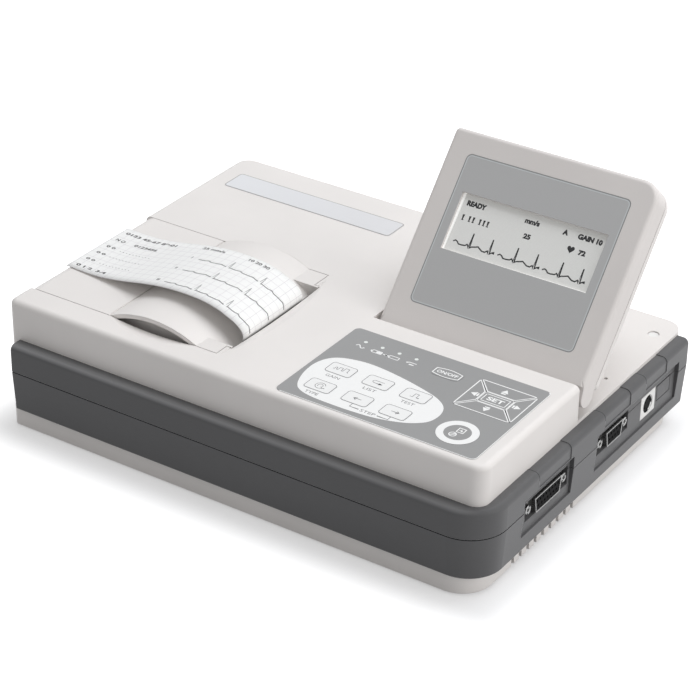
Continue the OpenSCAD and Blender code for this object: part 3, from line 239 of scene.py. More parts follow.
def printed(name, shapes, place, finish, body):
    """Flat shapes laid on a surface as a film of ink, by a function that places a flat point at a height."""
    made = bmesh.new()
    corners, sides = {}, {}

    def corner(p):
        spot = round(p[0], 4), round(p[1], 4)
        if spot not in corners:
            corners[spot] = [made.verts.new(place(*spot, h)) for h in (INK, 0.0)]
        return spot

    for shape in shapes:
        rim = list(dict.fromkeys(corner(p) for p in shape))
        if len(rim) < 3 or made.faces.get([corners[spot][0] for spot in rim]):
            continue
        if sum(p[0] * q[1] - q[0] * p[1] for p, q in zip(rim, rim[1:] + rim[:1])) < 0:
            rim.reverse()
        made.faces.new([corners[spot][0] for spot in rim])
        made.faces.new([corners[spot][1] for spot in reversed(rim)])
        sides.update(dict.fromkeys(zip(rim, rim[1:] + rim[:1])))
    for p, q in sides:
        if (q, p) not in sides:
            made.faces.new([corners[p][0], corners[p][1], corners[q][1], corners[q][0]])
    bmesh.ops.delete(made, geom=[v for v in made.verts if not v.link_faces], context="VERTS")
    return piece(name, made, finish, body)


def film(name, colour, rough, sheen=0.35):
    """Smooth printed film or ink: an even colour with the slight speckle of screen printing."""
    finish, tree, skin, where = new_finish(name)
    speck = noise(tree, where, 1 / (0.25 * MM), 1.0)
    weave = wire(tree, "ShaderNodeBump", {"Height": speck, "Strength": 0.03, "Distance": 0.0001})
    fill(tree, skin, {"Base Color": two_tones(tree, speck, tone(colour, 0.98), tone(colour, 1.02)),
                      "Roughness": between(tree, speck, rough - 0.05, rough + 0.05),
                      "Normal": weave.outputs["Normal"], "Specular IOR Level": sheen})
    return finish


overlay_grey = film("overlay_grey", shade(152, 152, 152), 0.5)
ink_white = film("ink_white", shade(244, 244, 243), 0.5)
ink_grey = film("ink_grey", shade(128, 128, 129), 0.55)
dress(overlay_grey, "keypad_overlay")
pad_low, pad_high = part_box("keypad_overlay")


def on_pad(x, y, h):
    """A point on the overlay's upper face."""
    return x * MM, y * MM, pad_high.z + h * MM


def on_field(x, y, h):
    """A point on the white field."""
    return on_pad(x, y, h + INK)


EGG = [(24.1, -82.3), (20.8, -73.5), (19.9, -63.3), (22.2, -55.5), (27.3, -50.7), (36.5, -48.0),
       (45.9, -47.6), (59.0, -49.3), (73.0, -52.4), (84.2, -56.0), (90.9, -60.9), (93.4, -67.5),
       (92.6, -74.7), (88.6, -79.6), (81.6, -83.7), (70.6, -86.9), (59.5, -88.1), (48.3, -88.4),
       (36.4, -88.0), (28.7, -86.2)]
EGG_STEPS = 5
egg = []
for i in range(len(EGG)):
    near = [Vector(EGG[(i + k) % len(EGG)]) for k in (-1, 0, 1, 2)]
    egg += [tuple(curve(*near, k / EGG_STEPS)) for k in range(EGG_STEPS)]

KEY_COLUMNS = (33.9, 54.6, 75.4)
KEY_ROWS = {"a": -60.0, "b": -77.6}
KEY_WIDE, KEY_DEEP, KEY_R, KEY_GAP = 13.6, 8.8, 1.5, 0.3
key_places = {f"key_{row}{i + 1}": (x, y) for row, y in KEY_ROWS.items() for i, x in enumerate(KEY_COLUMNS)}
key_windows = [loop(KEY_WIDE + 2 * KEY_GAP, KEY_DEEP + 2 * KEY_GAP, KEY_R + KEY_GAP, at)
               for at in key_places.values()]
printed("keypad_field", field(egg, *key_windows), on_pad, ink_white, "case")

LABEL_DROP, LABEL_TALL, BRACKET_LINE = 7.4, 2.1, 0.35
labels = []
for key, text, wide in (("key_a1", "GAIN", 7.6), ("key_a2", "LIST", 7.0), ("key_a3", "TEST", 7.4),
                        ("key_b1", "TYPE", 7.2)):
    labels += words(text, LABEL_TALL, (key_places[key][0], key_places[key][1] - LABEL_DROP), width=wide)
bracket_x, bracket_y = (KEY_COLUMNS[1] + KEY_COLUMNS[2]) / 2, KEY_ROWS["b"] - LABEL_DROP
labels += words("STEP", LABEL_TALL, (bracket_x, bracket_y), width=8.0)
for key_x, word_x in ((KEY_COLUMNS[1] + 0.4, bracket_x - 5), (KEY_COLUMNS[2] + 0.4, bracket_x + 5)):
    labels += line([(key_x, KEY_ROWS["b"] - KEY_DEEP / 2 - KEY_GAP), (key_x, bracket_y), (word_x, bracket_y)],
                   BRACKET_LINE)
printed("keypad_words", labels, on_field, ink_grey, "case")

MAINS_X, BATTERY_X, CHARGE_X, LEAD_X = 28.9, 38.5, 48.1, 57.7
SIGN_Y, SIGN_LINE, CELL_LINE, WAVE_LINE = -36.3, 0.5, 0.45, 0.55
signs = line([(MAINS_X - 2.4 + 0.3 * i, SIGN_Y + 1.1 * math.sin(i * math.pi / 8)) for i in range(17)],
             WAVE_LINE)
for x in (BATTERY_X, CHARGE_X):
    signs += line(loop(5.2, 2.2, 0.4, (x, SIGN_Y)), CELL_LINE, closed=True)
    signs += field(loop(0.8, 1.1, 0.2, (x - 3.1, SIGN_Y)))
signs += field(loop(2.6, 1.5, 0.2, (BATTERY_X + 1.0, SIGN_Y)))
signs += line([(CHARGE_X - 6.2, SIGN_Y), (CHARGE_X - 4.0, SIGN_Y)], SIGN_LINE)
signs += field([(CHARGE_X - 4.9, SIGN_Y - 1.0), (CHARGE_X - 3.5, SIGN_Y), (CHARGE_X - 4.9, SIGN_Y + 1.0)])
signs += line([(LEAD_X + 2.6, SIGN_Y + 0.9), (LEAD_X - 1.2, SIGN_Y + 0.9), (LEAD_X - 2.6, SIGN_Y)], SIGN_LINE)
signs += line([(LEAD_X + 2.0, SIGN_Y - 0.9), (LEAD_X - 0.6, SIGN_Y - 0.9)], SIGN_LINE)
printed("keypad_signs", signs, on_pad, ink_white, "case")

PAD_R, EDGE_HIGHLIGHT_LINE = 2.8, 0.45
pad_x0, pad_x1 = pad_low.x / MM, pad_high.x / MM
pad_y0, pad_y1 = pad_low.y / MM, pad_high.y / MM
pad_edge_highlight = [(pad_x0 + PAD_R, pad_y0), (pad_x1 - PAD_R, pad_y0)]
pad_edge_highlight += arc(PAD_R, -90, 0, (pad_x1 - PAD_R, pad_y0 + PAD_R), 6)[1:] + [(pad_x1, pad_y1 - PAD_R)]
pad_edge_highlight += arc(PAD_R, 0, 45, (pad_x1 - PAD_R, pad_y1 - PAD_R), 3)[1:]
# Painted highlight: a white line along the right and front edges, where the film's edge catches the light.
printed("keypad_edge_highlight", line(pad_edge_highlight, EDGE_HIGHLIGHT_LINE), on_pad, ink_white, "case")

# Plain keys: six rigid caps under the film, white as the field is, each printed with a thin grey outline
# and a sign. They are moulded in styrene, and each rests on a spring dome of the keypad board.
key_light = film("key_light", shade(240, 240, 239), 0.5)
dress(key_light, *key_places)
key_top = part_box("key_a1")[1].z


def on_key(at):
    """A place on a key's upper face, from the key's middle."""
    return lambda x, y, h: ((at[0] + x) * MM, (at[1] + y) * MM, key_top + h * MM)


def rim_of(node, at=(0.0, 0.0)):
    """The outline of a solid's upper face, counterclockwise, as seen from a place in it."""
    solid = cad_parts[node].data
    spots = [(round(v.co.x / MM, 3), round(v.co.y / MM, 3)) for v in solid.vertices]
    high = max(v.co.z for v in solid.vertices) - 1e-6
    ways = set()
    for face in solid.polygons:
        if all(solid.vertices[i].co.z > high for i in face.vertices):
            corners = [spots[i] for i in face.vertices]
            ways.update(zip(corners, corners[1:] + corners[:1]))
    onward = {p: q for p, q in ways if (q, p) not in ways}
    rim = [min(onward)]
    while onward[rim[-1]] != rim[0]:
        rim.append(onward[rim[-1]])
    return [(x - at[0], y - at[1]) for x, y in rim]


THIN, OVER = 0.3, 0.27


def outlined(key, at, width, reach=9.0):
    """A line round a key's upper face that stands a little over its edge."""
    return line(rim_of(key, at), width, closed=True, inward=width / 2 - OVER, reach=reach)


arrow = line([(-2.2, 0.0), (1.6, 0.0)], THIN) + line([(0.5, 1.1), (2.0, 0.0), (0.5, -1.1)], THIN)
key_signs = {
    "key_a1": line([(-4.2, -0.8), (-3.6, -0.8), (-3.4, 1.0), (-2.6, 1.0), (-2.4, -0.8), (-1.6, -0.8),
                    (-1.4, 1.6), (0.2, 1.6), (0.4, -0.8), (1.2, -0.8), (1.4, 2.2), (3.4, 2.2), (3.6, -0.8),
                    (4.2, -0.8)], THIN),
    "key_a2": line([(2.9, 1.1), (-2.0, 1.1), (-2.9, 0.4), (-2.9, -0.3), (-2.0, -1.0), (2.4, -1.0)], THIN)
    + field([(0.9, -1.9), (2.9, -1.0), (0.9, -0.1)]),
    "key_a3": line([(-2.4, -1.5), (-1.0, -1.5), (-1.0, 1.6), (1.0, 1.6), (1.0, -1.5), (2.4, -1.5)], THIN),
    "key_b1": line(arc(2.5, 20, 320), THIN) + line(arc(1.3, -60, 220), THIN)
    + line([(1.3, -1.0), (2.0, -1.75), (3.0, -1.3)], THIN),
    "key_b2": [[Vector((-p.x, p.y)) for p in reversed(shape)] for shape in arrow],
    "key_b3": arrow,
}
for key, at in key_places.items():
    printed(f"{key}_print", outlined(key, at, THIN) + key_signs[key], on_key(at), ink_grey, key)

# Power, direction, menu and start keys: caps of the same kind in the film's own grey, printed in white:
# a barrel outline on the power key, a framed square for the direction keys, a ring on the start key.
key_grey = film("key_grey", shade(151, 151, 151), 0.5)
dress(key_grey, "key_power", "key_start", "key_menu", "key_right", "key_left", "key_up", "key_down")
POWER_AT, NAV_AT, START_AT = (76.9, -34.5), (107.9, -42.6), (107.9, -76.3)
WHITE_LINE, NAV_LINE, FRAME_LINE, FRAME_IN = 0.55, 0.62, 0.5, 1.2
barrel = [(7.0 * s * t, s * (2.3 + 1.2 * math.cos(t * math.pi / 2))) for s in (1, -1)
          for t in [1 - k / 4 for k in range(9)]]
printed("key_power_rim", outlined("key_power", POWER_AT, THIN), on_key(POWER_AT), overlay_grey, "key_power")
printed("key_power_print",
        line(barrel, WHITE_LINE, closed=True) + words("ON/OFF", 2.5, (0.0, 0.0), 0.025, 11.2),
        on_key(POWER_AT), ink_white, "key_power")

CARET = [(1.9, 0.0), (-1.1, 1.9), (-1.1, -1.9)]
for quarter, (key, far) in enumerate((("key_right", 11.4), ("key_up", 9.2), ("key_left", 11.4),
                                      ("key_down", 9.2))):
    turn = Matrix.Rotation(math.radians(90 * quarter), 2)
    bar = line([(far - 1.9, -1.3), (far - 1.9, 1.3)], WHITE_LINE)
    point = [[turn @ Vector(p) for p in shape] for shape in bar + [[(far + x, y) for x, y in CARET]]]
    printed(f"{key}_print", outlined(key, NAV_AT, NAV_LINE, OVER) + point, on_key(NAV_AT), ink_white, key)

menu_lines = outlined("key_menu", NAV_AT, THIN)
menu_lines += line(rim_of("key_menu", NAV_AT), FRAME_LINE, closed=True, inward=FRAME_IN)
printed("key_menu_print", menu_lines + words("SET", 3.3, (0.0, 0.0), 0.035, 8.8), on_key(NAV_AT), ink_white,
        "key_menu")


def ring(radius, at=(0.0, 0.0), steps=32):
    """Points round a circle."""
    return arc(radius, 0, 360, at, steps)[:-1]


START_R, START_HOLE, START_LINE, START_TRACE = 9.8, 6.5, 0.5, 0.4
start_signs = field(ring(START_R + OVER, steps=64), ring(START_HOLE, steps=64))
start_signs += line([(-1.0, 0.4), (-1.0, 4.0), (2.4, 4.0), (2.4, 0.4)], START_LINE, closed=True)
start_signs += line([(-0.2, 2.0), (0.4, 2.0), (0.7, 3.0), (1.0, 1.4), (1.6, 2.0)], START_TRACE)
start_signs += line(ring(1.7, (-1.2, -2.4), 24), START_LINE, closed=True)
start_signs += line([(-2.3, -3.4), (-0.1, -1.4)], START_LINE)
printed("key_start_print", start_signs, on_key(START_AT), ink_white, "key_start")

# Status lights: four rods of clear acrylic, pressed into the cover under the film. They carry the light of
# the board's lamps up to it, and show as pale dots when the lamps are off.
status_lights, tree, skin, where = new_finish("status_lights")
haze = noise(tree, where, 900.0, 1.0)
fill(tree, skin, {"Base Color": two_tones(tree, haze, shade(226, 231, 226), shade(243, 246, 243)),
                  "Roughness": between(tree, haze, 0.1, 0.2), "Subsurface Weight": 0.2,
                  "Subsurface Radius": (0.001, 0.001, 0.001)})
dress(status_lights, "status_lights")

# Display: a bezel moulding with a recessed film of grey print round the screen window, a skirt that closes
# it down to the cover, and a dark brown line painted in the groove of the joint with its back as painted
# shade.
# It turns on two steel pins and folds back flat onto the deck of the case.
BEZEL_COLOUR, BEZEL_ROUGH = shade(223, 218, 215), 0.48
bezel_grey = moulded("bezel_grey", BEZEL_COLOUR, BEZEL_ROUGH)
dress(bezel_grey, "display_bezel")
lens_grey = film("lens_grey", shade(185, 185, 185), 0.42)
dress(lens_grey, "display_overlay")
HINGE_Y, HINGE_Z, TILT = -2.26, 61.0, math.radians(48.8)
FRONT_Z, SCREEN_Z, SEAM_Z = 8.0, 5.8, -5.0
BEZEL_X0, BEZEL_X1, BEZEL_TOP, BEZEL_R, BEZEL_EDGE = 20.2, 134.6, 106.0, 10.0, 2.2


def on_display(height):
    """A place on the raised display, from its hinge axis: x across, y up the face, out by a height."""
    def place(x, y, h):
        out = height + h
        return (x * MM, (HINGE_Y + y * math.cos(TILT) - out * math.sin(TILT)) * MM,
                (HINGE_Z + y * math.sin(TILT) + out * math.cos(TILT)) * MM)
    return place


LENS_WIDE, LENS_TALL, LENS_R, LENS_AT = 90.8, 78.6, 2.9, (77.4, 55.0)
EDGE_LINE, EDGE_IN, LIP_LINE, LIP_IN = 0.4, 0.1, 0.45, 0.75
lens_rim = loop(LENS_WIDE, LENS_TALL, LENS_R, LENS_AT)
edge_dark = film("edge_dark", shade(140, 142, 143), 0.4)
printed("display_overlay_edge", line(lens_rim, EDGE_LINE, closed=True, inward=EDGE_IN), on_display(FRONT_Z),
        edge_dark, "display")
edge_clear = film("edge_clear", shade(203, 207, 208), 0.3)
printed("display_overlay_lip", line(lens_rim, LIP_LINE, closed=True, inward=LIP_IN), on_display(FRONT_Z),
        edge_clear, "display")

made = bmesh.new()


def skirt_ring(y, end, thick):
    """The skirt's section at a height up the face: its front from left to right, and its back.

    End is the angle, from the front's left or right, at which it stops on the bezel's round edges.
    """
    sides = []
    for radius in (BEZEL_EDGE + INK, BEZEL_EDGE + INK - thick):
        left = arc(radius, 180 - end, 90, (BEZEL_X0 + BEZEL_EDGE, FRONT_Z - BEZEL_EDGE), 6)
        right = arc(radius, 90, end, (BEZEL_X1 - BEZEL_EDGE, FRONT_Z - BEZEL_EDGE), 6)
        sides.append([made.verts.new(on_display(z)(x, y, 0.0)) for x, z in left + right])
    return sides[0] + sides[1][::-1]


SKIRT = ((2.15, 50, 0.7), (4.88, 88, INK), (5.6, 88, INK))
skirt_rings = [skirt_ring(*section) for section in SKIRT]
count = len(skirt_rings[0])
for low_ring, high_ring in zip(skirt_rings, skirt_rings[1:]):
    for i in range(count):
        k = (i + 1) % count
        made.faces.new([low_ring[i], low_ring[k], high_ring[k], high_ring[i]])
for i in range(count // 2 - 1):
    for end_ring in (skirt_rings[0], skirt_rings[-1]):
        made.faces.new([end_ring[i], end_ring[i + 1], end_ring[count - 2 - i], end_ring[count - 1 - i]])
bmesh.ops.recalc_face_normals(made, faces=made.faces)
skirt_grey = moulded("skirt_grey", BEZEL_COLOUR, BEZEL_ROUGH, soften=0.01)
piece("display_skirt", made, skirt_grey, "display")


def runs(path):
    """How far along a path each of its points lies."""
    run = [0.0]
    for p, q in zip(path, path[1:]):
        run.append(run[-1] + (Vector(q) - Vector(p)).length)
    return run


def along(path, run, distance, slack=0.0):
    """The point at a distance along a path, and the way to its left there."""
    i = max(1, next((k for k, r in enumerate(run) if r >= distance - slack), len(run) - 1))
    p, q = Vector(path[i - 1]), Vector(path[i])
    way = (q - p).normalized()
    return p.lerp(q, (distance - run[i - 1]) / (run[i] - run[i - 1])), Vector((-way.y, way.x))


SUNK, GROOVE_SHADE_LINE, GROOVE_SHADE_R, GROOVE_SHADE_FOOT = 0.12, 0.34, 2.0, 7.0
seam_path = [(BEZEL_X0 + SUNK, GROOVE_SHADE_FOOT)]
seam_path += arc(GROOVE_SHADE_R, 180, 90, (BEZEL_X0 + SUNK + GROOVE_SHADE_R, BEZEL_TOP - SUNK - GROOVE_SHADE_R), 4)
seam_path += arc(BEZEL_R - SUNK, 90, 0, (BEZEL_X1 - BEZEL_R, BEZEL_TOP - BEZEL_R), 10)
seam_path += [(BEZEL_X1 - SUNK, GROOVE_SHADE_FOOT)]
seam_run = runs(seam_path)


def in_seam(s, z, h):
    """A point on the painted shade line in the groove between the bezel and the back: s runs round the
    display's edge.
    """
    spot, out = along(seam_path, seam_run, s, slack=0.001)
    spot += out * h
    return on_display(SEAM_Z)(spot.x, spot.y, z)


# Painted shade: a dark brown line in the groove stands for the groove's shade.
groove_shade = film("groove_shade", shade(74, 50, 41), 0.7)
printed("display_seam_shade", line([(s, 0.2) for s in seam_run], GROOVE_SHADE_LINE), in_seam, groove_shade, "display")

# Screen: a monochrome liquid crystal panel behind the window, pale and matt, with a fine dot raster.
# The text, heart sign and pulse trace are its darkened dots. Glowing strips at the left and below are painted
# light for the window's lit walls.
screen_pale, tree, skin, where = new_finish("screen_pale")
DOT = 0.0004
raster = wire(tree, "ShaderNodeTexBrick", {"Vector": where, "Scale": 1.0, "Color1": shade(242, 242, 239),
                                           "Color2": shade(239, 239, 236), "Mortar": shade(233, 233, 230),
                                           "Mortar Size": DOT / 10, "Brick Width": DOT, "Row Height": DOT},
              offset=0.0)
fill(tree, skin, {"Base Color": raster.outputs["Color"],
                  "Roughness": between(tree, raster.outputs["Fac"], 0.35, 0.45)})
dress(screen_pale, "screen_panel")

WINDOW_X0, WINDOW_X1, WINDOW_Y0, WINDOW_Y1 = 37.0, 117.8, 45.2, 75.2
LIT_LEFT, LIT_BELOW = 0.9, 0.4
lit_x, lit_y = WINDOW_X0 + LIT_LEFT / 2, WINDOW_Y0 + LIT_BELOW / 2
painted_wall_light = line([(lit_x, WINDOW_Y0), (lit_x, WINDOW_Y1)], LIT_LEFT)
painted_wall_light += line([(WINDOW_X0 + LIT_LEFT, lit_y), (WINDOW_X1, lit_y)], LIT_BELOW)
# Painted light: a faintly glowing pale film stands for the lit walls of the window.
wall_lit = film("wall_lit", shade(250, 250, 248), 0.4)
tree = wall_lit.node_tree
fill(tree, tree.nodes["Principled BSDF"], {"Emission Color": (1.0, 1.0, 0.98, 1.0),
                                           "Emission Strength": 0.25})
printed("screen_wall_light", painted_wall_light, on_display(SCREEN_Z), wall_lit, "display")

shown = []
for text, tall, at, heavy, wide in (("READY", 2.8, (46.0, 70.9), 0.07, 10.8),
                                    ("mm/s", 2.8, (77.3, 70.9), 0.055, 8.0),
                                    ("25", 2.7, (77.3, 63.3), 0.06, 3.9),
                                    ("A", 2.8, (95.6, 70.8), 0.07, None),
                                    ("GAIN 10", 2.8, (109.0, 70.8), 0.07, 13.2),
                                    ("72", 2.7, (107.5, 63.3), 0.065, 3.9)):
    shown += words(text, tall, at, heavy, wide)
STEM, SERIF, SERIF_HALF = 0.5, 0.25, 0.6
for x in (41.3, 45.0, 47.2, 50.9, 53.1, 55.3):
    shown += line([(x, 62.0), (x, 64.7)], STEM)
    for y in (62.1, 64.6):
        shown += line([(x - SERIF_HALF, y), (x + SERIF_HALF, y)], SERIF)
HEART_AT, HEART = (101.3, 63.6), 0.128
shown += field([(HEART_AT[0] + HEART * 16 * math.sin(a) ** 3 * 0.95,
                 HEART_AT[1] + HEART * (13 * math.cos(a) - 5 * math.cos(2 * a) - 2 * math.cos(3 * a)
                                        - math.cos(4 * a)))
                for a in [2 * math.pi * i / 40 for i in range(40)]])
BEAT = [(-9.3, 0.2), (-8.2, 0.9), (-7.2, 0.6), (-6.0, -0.5), (-4.3, -0.6), (-2.3, -0.3), (-1.4, 0.5),
        (-0.8, -0.1), (-0.4, -0.9), (0.0, 6.6), (0.4, -0.8), (1.4, -0.1), (3.2, 0.4), (4.6, 0.9), (5.6, 0.3),
        (7.2, -0.6), (8.9, -0.7), (10.0, 0.3), (10.5, -0.2), (10.7, -1.0), (11.1, 6.5), (11.6, -0.8),
        (12.6, 0.0), (14.0, 0.2)]
BEAT_LINE = 0.66
for x, y in ((50.4, 50.5), (75.6, 50.2), (100.5, 49.9)):
    shown += line([(x + p[0], y + p[1]) for p in BEAT], BEAT_LINE)
screen_ink = film("screen_ink", shade(44, 44, 46), 0.5)
printed("screen_trace", shown, on_display(SCREEN_Z), screen_ink, "display")

# Recorder paper: a 50 mm strip of thermal paper with a faint printed grid, off the roll in the tray. It comes
# round the platen, up through the slot, and lies back over the arch of the door, with three traces on it.
TAB_X, TOP_Z, PLATEN, WRAP_R = -24.1, 69.0, (-33.0, 57.5), 6.35
PAPER_Y0, PAPER_WIDE, PAPER_T = -62.0, 50.0, 0.16
SLOT_X, SKEW, PAPER_STEP = -20.7, 0.075, 1.1
free = [(-1.7, -7.3), (-0.5, -5.6), (0.9, -3.7), (1.8, -2.1), (2.35, -0.4), (2.3, 1.6), (1.4, 3.4),
        (-0.2, 5.0), (-2.5, 6.5), (-5.0, 7.6), (-8.4, 8.8), (-13.0, 10.3), (-19.0, 11.4), (-26.0, 11.9),
        (-34.0, 11.8), (-43.0, 11.1), (-53.0, 9.7), (-65.0, 7.1), (-78.0, 4.0), (-90.0, 1.8),
        (-101.0, 0.75), (-114.0, 0.45)]
wrap = arc(WRAP_R, -60, 12, PLATEN, 6)
knots = [Vector(p) for p in wrap + [(TAB_X + x, TOP_Z + z) for x, z in free]][::-1]
paper_line = []
for i in range(len(knots) - 1):
    near = [knots[max(i - 1, 0)], knots[i], knots[i + 1], knots[min(i + 2, len(knots) - 1)]]
    parts = max(1, round((near[2] - near[1]).length / PAPER_STEP))
    paper_line += [curve(*near, k / parts) for k in range(parts)]
paper_line.append(knots[-1])
paper_run = runs(paper_line)


def on_paper(lift):
    """A place on the strip: u along it from the free end, v across it from the edge nearest the operator."""
    def place(u, v, h):
        middle, up = along(paper_line, paper_run, u)
        p = middle + up * (lift + h)
        return p.x * MM, (PAPER_Y0 + v + SKEW * (SLOT_X - middle.x)) * MM, p.y * MM
    return place


def reckon(tree, operation, *values):
    """The outcome of a sum in a finish."""
    return wire(tree, "ShaderNodeMath", dict(enumerate(values)), operation=operation).outputs[0]


paper, tree, skin, where = new_finish("chart_paper")
flat_map = wire(tree, "ShaderNodeUVMap", uv_map="chart").outputs["UV"]
cells = wire(tree, "ShaderNodeSeparateXYZ", {"Vector": flat_map}).outputs
grid = None
for size, edge, weight in ((1.0, 0.10, 0.14), (5.0, 0.055, 0.65)):
    for axis in ("X", "Y"):
        part = reckon(tree, "FRACT", reckon(tree, "DIVIDE", cells[axis], size))
        rule = between(tree, part, weight, 0.0, edge * 0.7, edge)
        grid = rule if grid is None else reckon(tree, "MAXIMUM", grid, rule)
fibre = noise(tree, where, 1600.0, 3.0)
white = two_tones(tree, fibre, shade(245, 245, 243), shade(250, 250, 249))
nap = wire(tree, "ShaderNodeBump", {"Height": fibre, "Strength": 0.05, "Distance": 0.0001})
fill(tree, skin, {"Base Color": blend(tree, grid, white, shade(198, 192, 197)),
                  "Roughness": between(tree, fibre, 0.55, 0.7), "Normal": nap.outputs["Normal"],
                  "Specular IOR Level": 0.15})
dress(paper, "paper_roll", "paper_web")

ACROSS = 10
made = bmesh.new()
chart = made.loops.layers.uv.new("chart")
flat_at, rows = {}, {}
for side in (1, -1):
    place = on_paper(side * PAPER_T / 2)
    rows[side] = []
    for u in paper_run:
        flat_row = [(u, PAPER_WIDE * k / ACROSS) for k in range(ACROSS + 1)]
        rows[side].append([made.verts.new(place(*spot, 0.0)) for spot in flat_row])
        flat_at.update(zip(rows[side][-1], flat_row))
top_rows, under_rows = rows[1], rows[-1]
for i in range(len(paper_run) - 1):
    for k in range(ACROSS):
        for side in (1, -1):
            row, onward = rows[side][i:i + 2]
            corners = [row[k], onward[k], onward[k + 1], row[k + 1]]
            made.faces.new(corners if side < 0 else corners[::-1])
    for k in (0, ACROSS):
        made.faces.new([top_rows[i][k], top_rows[i + 1][k], under_rows[i + 1][k], under_rows[i][k]])
for i in (0, len(paper_run) - 1):
    for k in range(ACROSS):
        made.faces.new([top_rows[i][k], top_rows[i][k + 1], under_rows[i][k + 1], under_rows[i][k]])
bmesh.ops.recalc_face_normals(made, faces=made.faces)
for face in made.faces:
    face.smooth = True
    for corner in face.loops:
        corner[chart].uv = flat_at[corner.vert]
strip = piece("recorder_paper", made, paper, "door")
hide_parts("paper_strip")

TRACE_START, TRACE_END, TRACE_STEP, TRACE_LINE, PEAK_LINE = 62.6, 122.0, 0.8, 0.5, 0.16
BEAT_LONG, BEAT_HIGH = 20.5, 0.8
BEAT_RUN = [(0.0, 0.0), (1.6, 0.1), (2.6, 0.0), (4.4, 0.1), (5.4, 0.5), (6.6, 1.0), (7.4, 0.4), (8.4, -0.2),
            (10.6, 0.1), (13.0, 0.4), (14.6, 1.0), (15.6, 0.6), (16.8, 0.3), (18.0, 0.2)]
burnt = []
for v, more, number in ((33.8, 0.0, "I"), (20.4, 0.4, "II"), (5.6, -0.4, "III")):
    for beat in range(3):
        start = TRACE_START + BEAT_LONG * beat
        run = [(start + u, v + rise * BEAT_HIGH + more * (u / BEAT_RUN[-1][0])) for u, rise in BEAT_RUN
               if start + u < TRACE_END]
        fine = [run[0]]
        for p, q in zip(run, run[1:]):
            parts = max(1, math.ceil((q[0] - p[0]) / TRACE_STEP))
            fine += [tuple(Vector(p).lerp(Vector(q), k / parts)) for k in range(1, parts + 1)]
        burnt += line(fine, TRACE_LINE)
        if beat < 2:
            burnt += line([(start + 19.0, v + 0.6), (start + 19.6, v + 6.4)], PEAK_LINE)
            burnt += line([(start + 19.9, v + 5.0), (start + 20.3, v - 0.6)], PEAK_LINE)
    burnt += words(number, 2.0, (57.5, v + 1.2), 0.02)
for text, tall, u0, u1, v in (("0123 45-67 89:01", 2.4, 3.0, 38.0, 45.4), ("N O", 2.4, 3.0, 9.0, 37.0),
                              ("0123456", 2.4, 15.5, 31.0, 37.2), ("0 0", 1.9, 3.4, 9.2, 28.6),
                              ("0 0", 1.9, 3.2, 9.0, 20.6), ("0 0", 1.9, 3.0, 8.8, 12.4),
                              ("0 1 2  3-4", 2.2, 3.2, 23.0, 4.4), ("25 mm/s", 2.2, 55.5, 70.5, 46.6),
                              ("10 20 30", 2.2, 86.0, 99.0, 46.8)):
    burnt += words(text, tall, ((u0 + u1) / 2, v), 0.03, u1 - u0)
DOT_PITCH, DOT_SIZE = 2.2, 0.5
for u0, v in ((13.0, 27.6), (12.5, 19.8), (12.5, 11.6)):
    for u in [u0 + DOT_PITCH * k for k in range(10)]:
        burnt.append([(u, v), (u + DOT_SIZE, v), (u + DOT_SIZE, v + DOT_SIZE), (u, v + DOT_SIZE)])
trace_ink = film("trace_ink", shade(58, 56, 58), 0.6)
traces = printed("recorder_print", burnt, on_paper(PAPER_T / 2), trace_ink, "door")

# Name plate: a bare strip of brushed foil behind a clear film, stuck in a shallow recess of the cover.
# The brushing runs along it, and its left end is a little bluer.
name_plate, tree, skin, where = new_finish("name_plate")
stretched = wire(tree, "ShaderNodeMapping", {"Vector": where, "Scale": (90.0, 5200.0, 1.0)}).outputs["Vector"]
brush = noise(tree, stretched, 1.0, 2.0)
plate_low, plate_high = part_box("name_plate")
across = wire(tree, "ShaderNodeSeparateXYZ", {"Vector": where}).outputs["X"]
run = between(tree, across, 0.0, 1.0, plate_low.x, plate_high.x)
hue = two_tones(tree, run, shade(226, 227, 230), shade(215, 214, 216), 0.0, 0.8)
fill(tree, skin, {"Base Color": blend(tree, brush, hue, shade(226, 227, 229)),
                  "Roughness": between(tree, brush, 0.4, 0.54), "Metallic": 0.08, "Specular IOR Level": 0.3})
dress(name_plate, "name_plate")
plate_middle = [(plate_low[i] + plate_high[i]) / 2 / MM for i in (0, 1)]
plate_size = [(plate_high[i] - plate_low[i]) / MM for i in (0, 1)]


def on_plate(x, y, h):
    """A point on the plate's upper face, from its middle."""
    return (plate_middle[0] + x) * MM, (plate_middle[1] + y) * MM, plate_high.z + h * MM


PLATE_R, PLATE_LINE = 2.0, 0.34
plate_rim = line(loop(*plate_size, PLATE_R), PLATE_LINE, closed=True, inward=PLATE_LINE / 2)
plate_edge = film("plate_edge", shade(150, 149, 146), 0.4)
printed("name_plate_edge", plate_rim, on_plate, plate_edge, "case")

# Lower and upper band: dark trims along the front and right sides, moulded in grey with a coarser spark
# texture and clipped over the joint of the two halves, with a black film laid in the joint as painted shade.
# The upward front ledge is painted paler, most at the left, as painted light. Bare label fields are sunk into
# the ledge, with a dark line painted along their near edges as the shadow of their step.
band_dark = moulded("band_dark", shade(95, 95, 96), 0.45, pebble=0.6, depth=0.09, sheen=0.15, dust=0.6)
tree = band_dark.node_tree
skin = tree.nodes["Principled BSDF"]
where = wire(tree, "ShaderNodeTexCoord").outputs["Object"]
spot = wire(tree, "ShaderNodeSeparateXYZ", {"Vector": where}).outputs
normal = wire(tree, "ShaderNodeNewGeometry").outputs["Normal"]
facing = wire(tree, "ShaderNodeSeparateXYZ", {"Vector": normal}).outputs
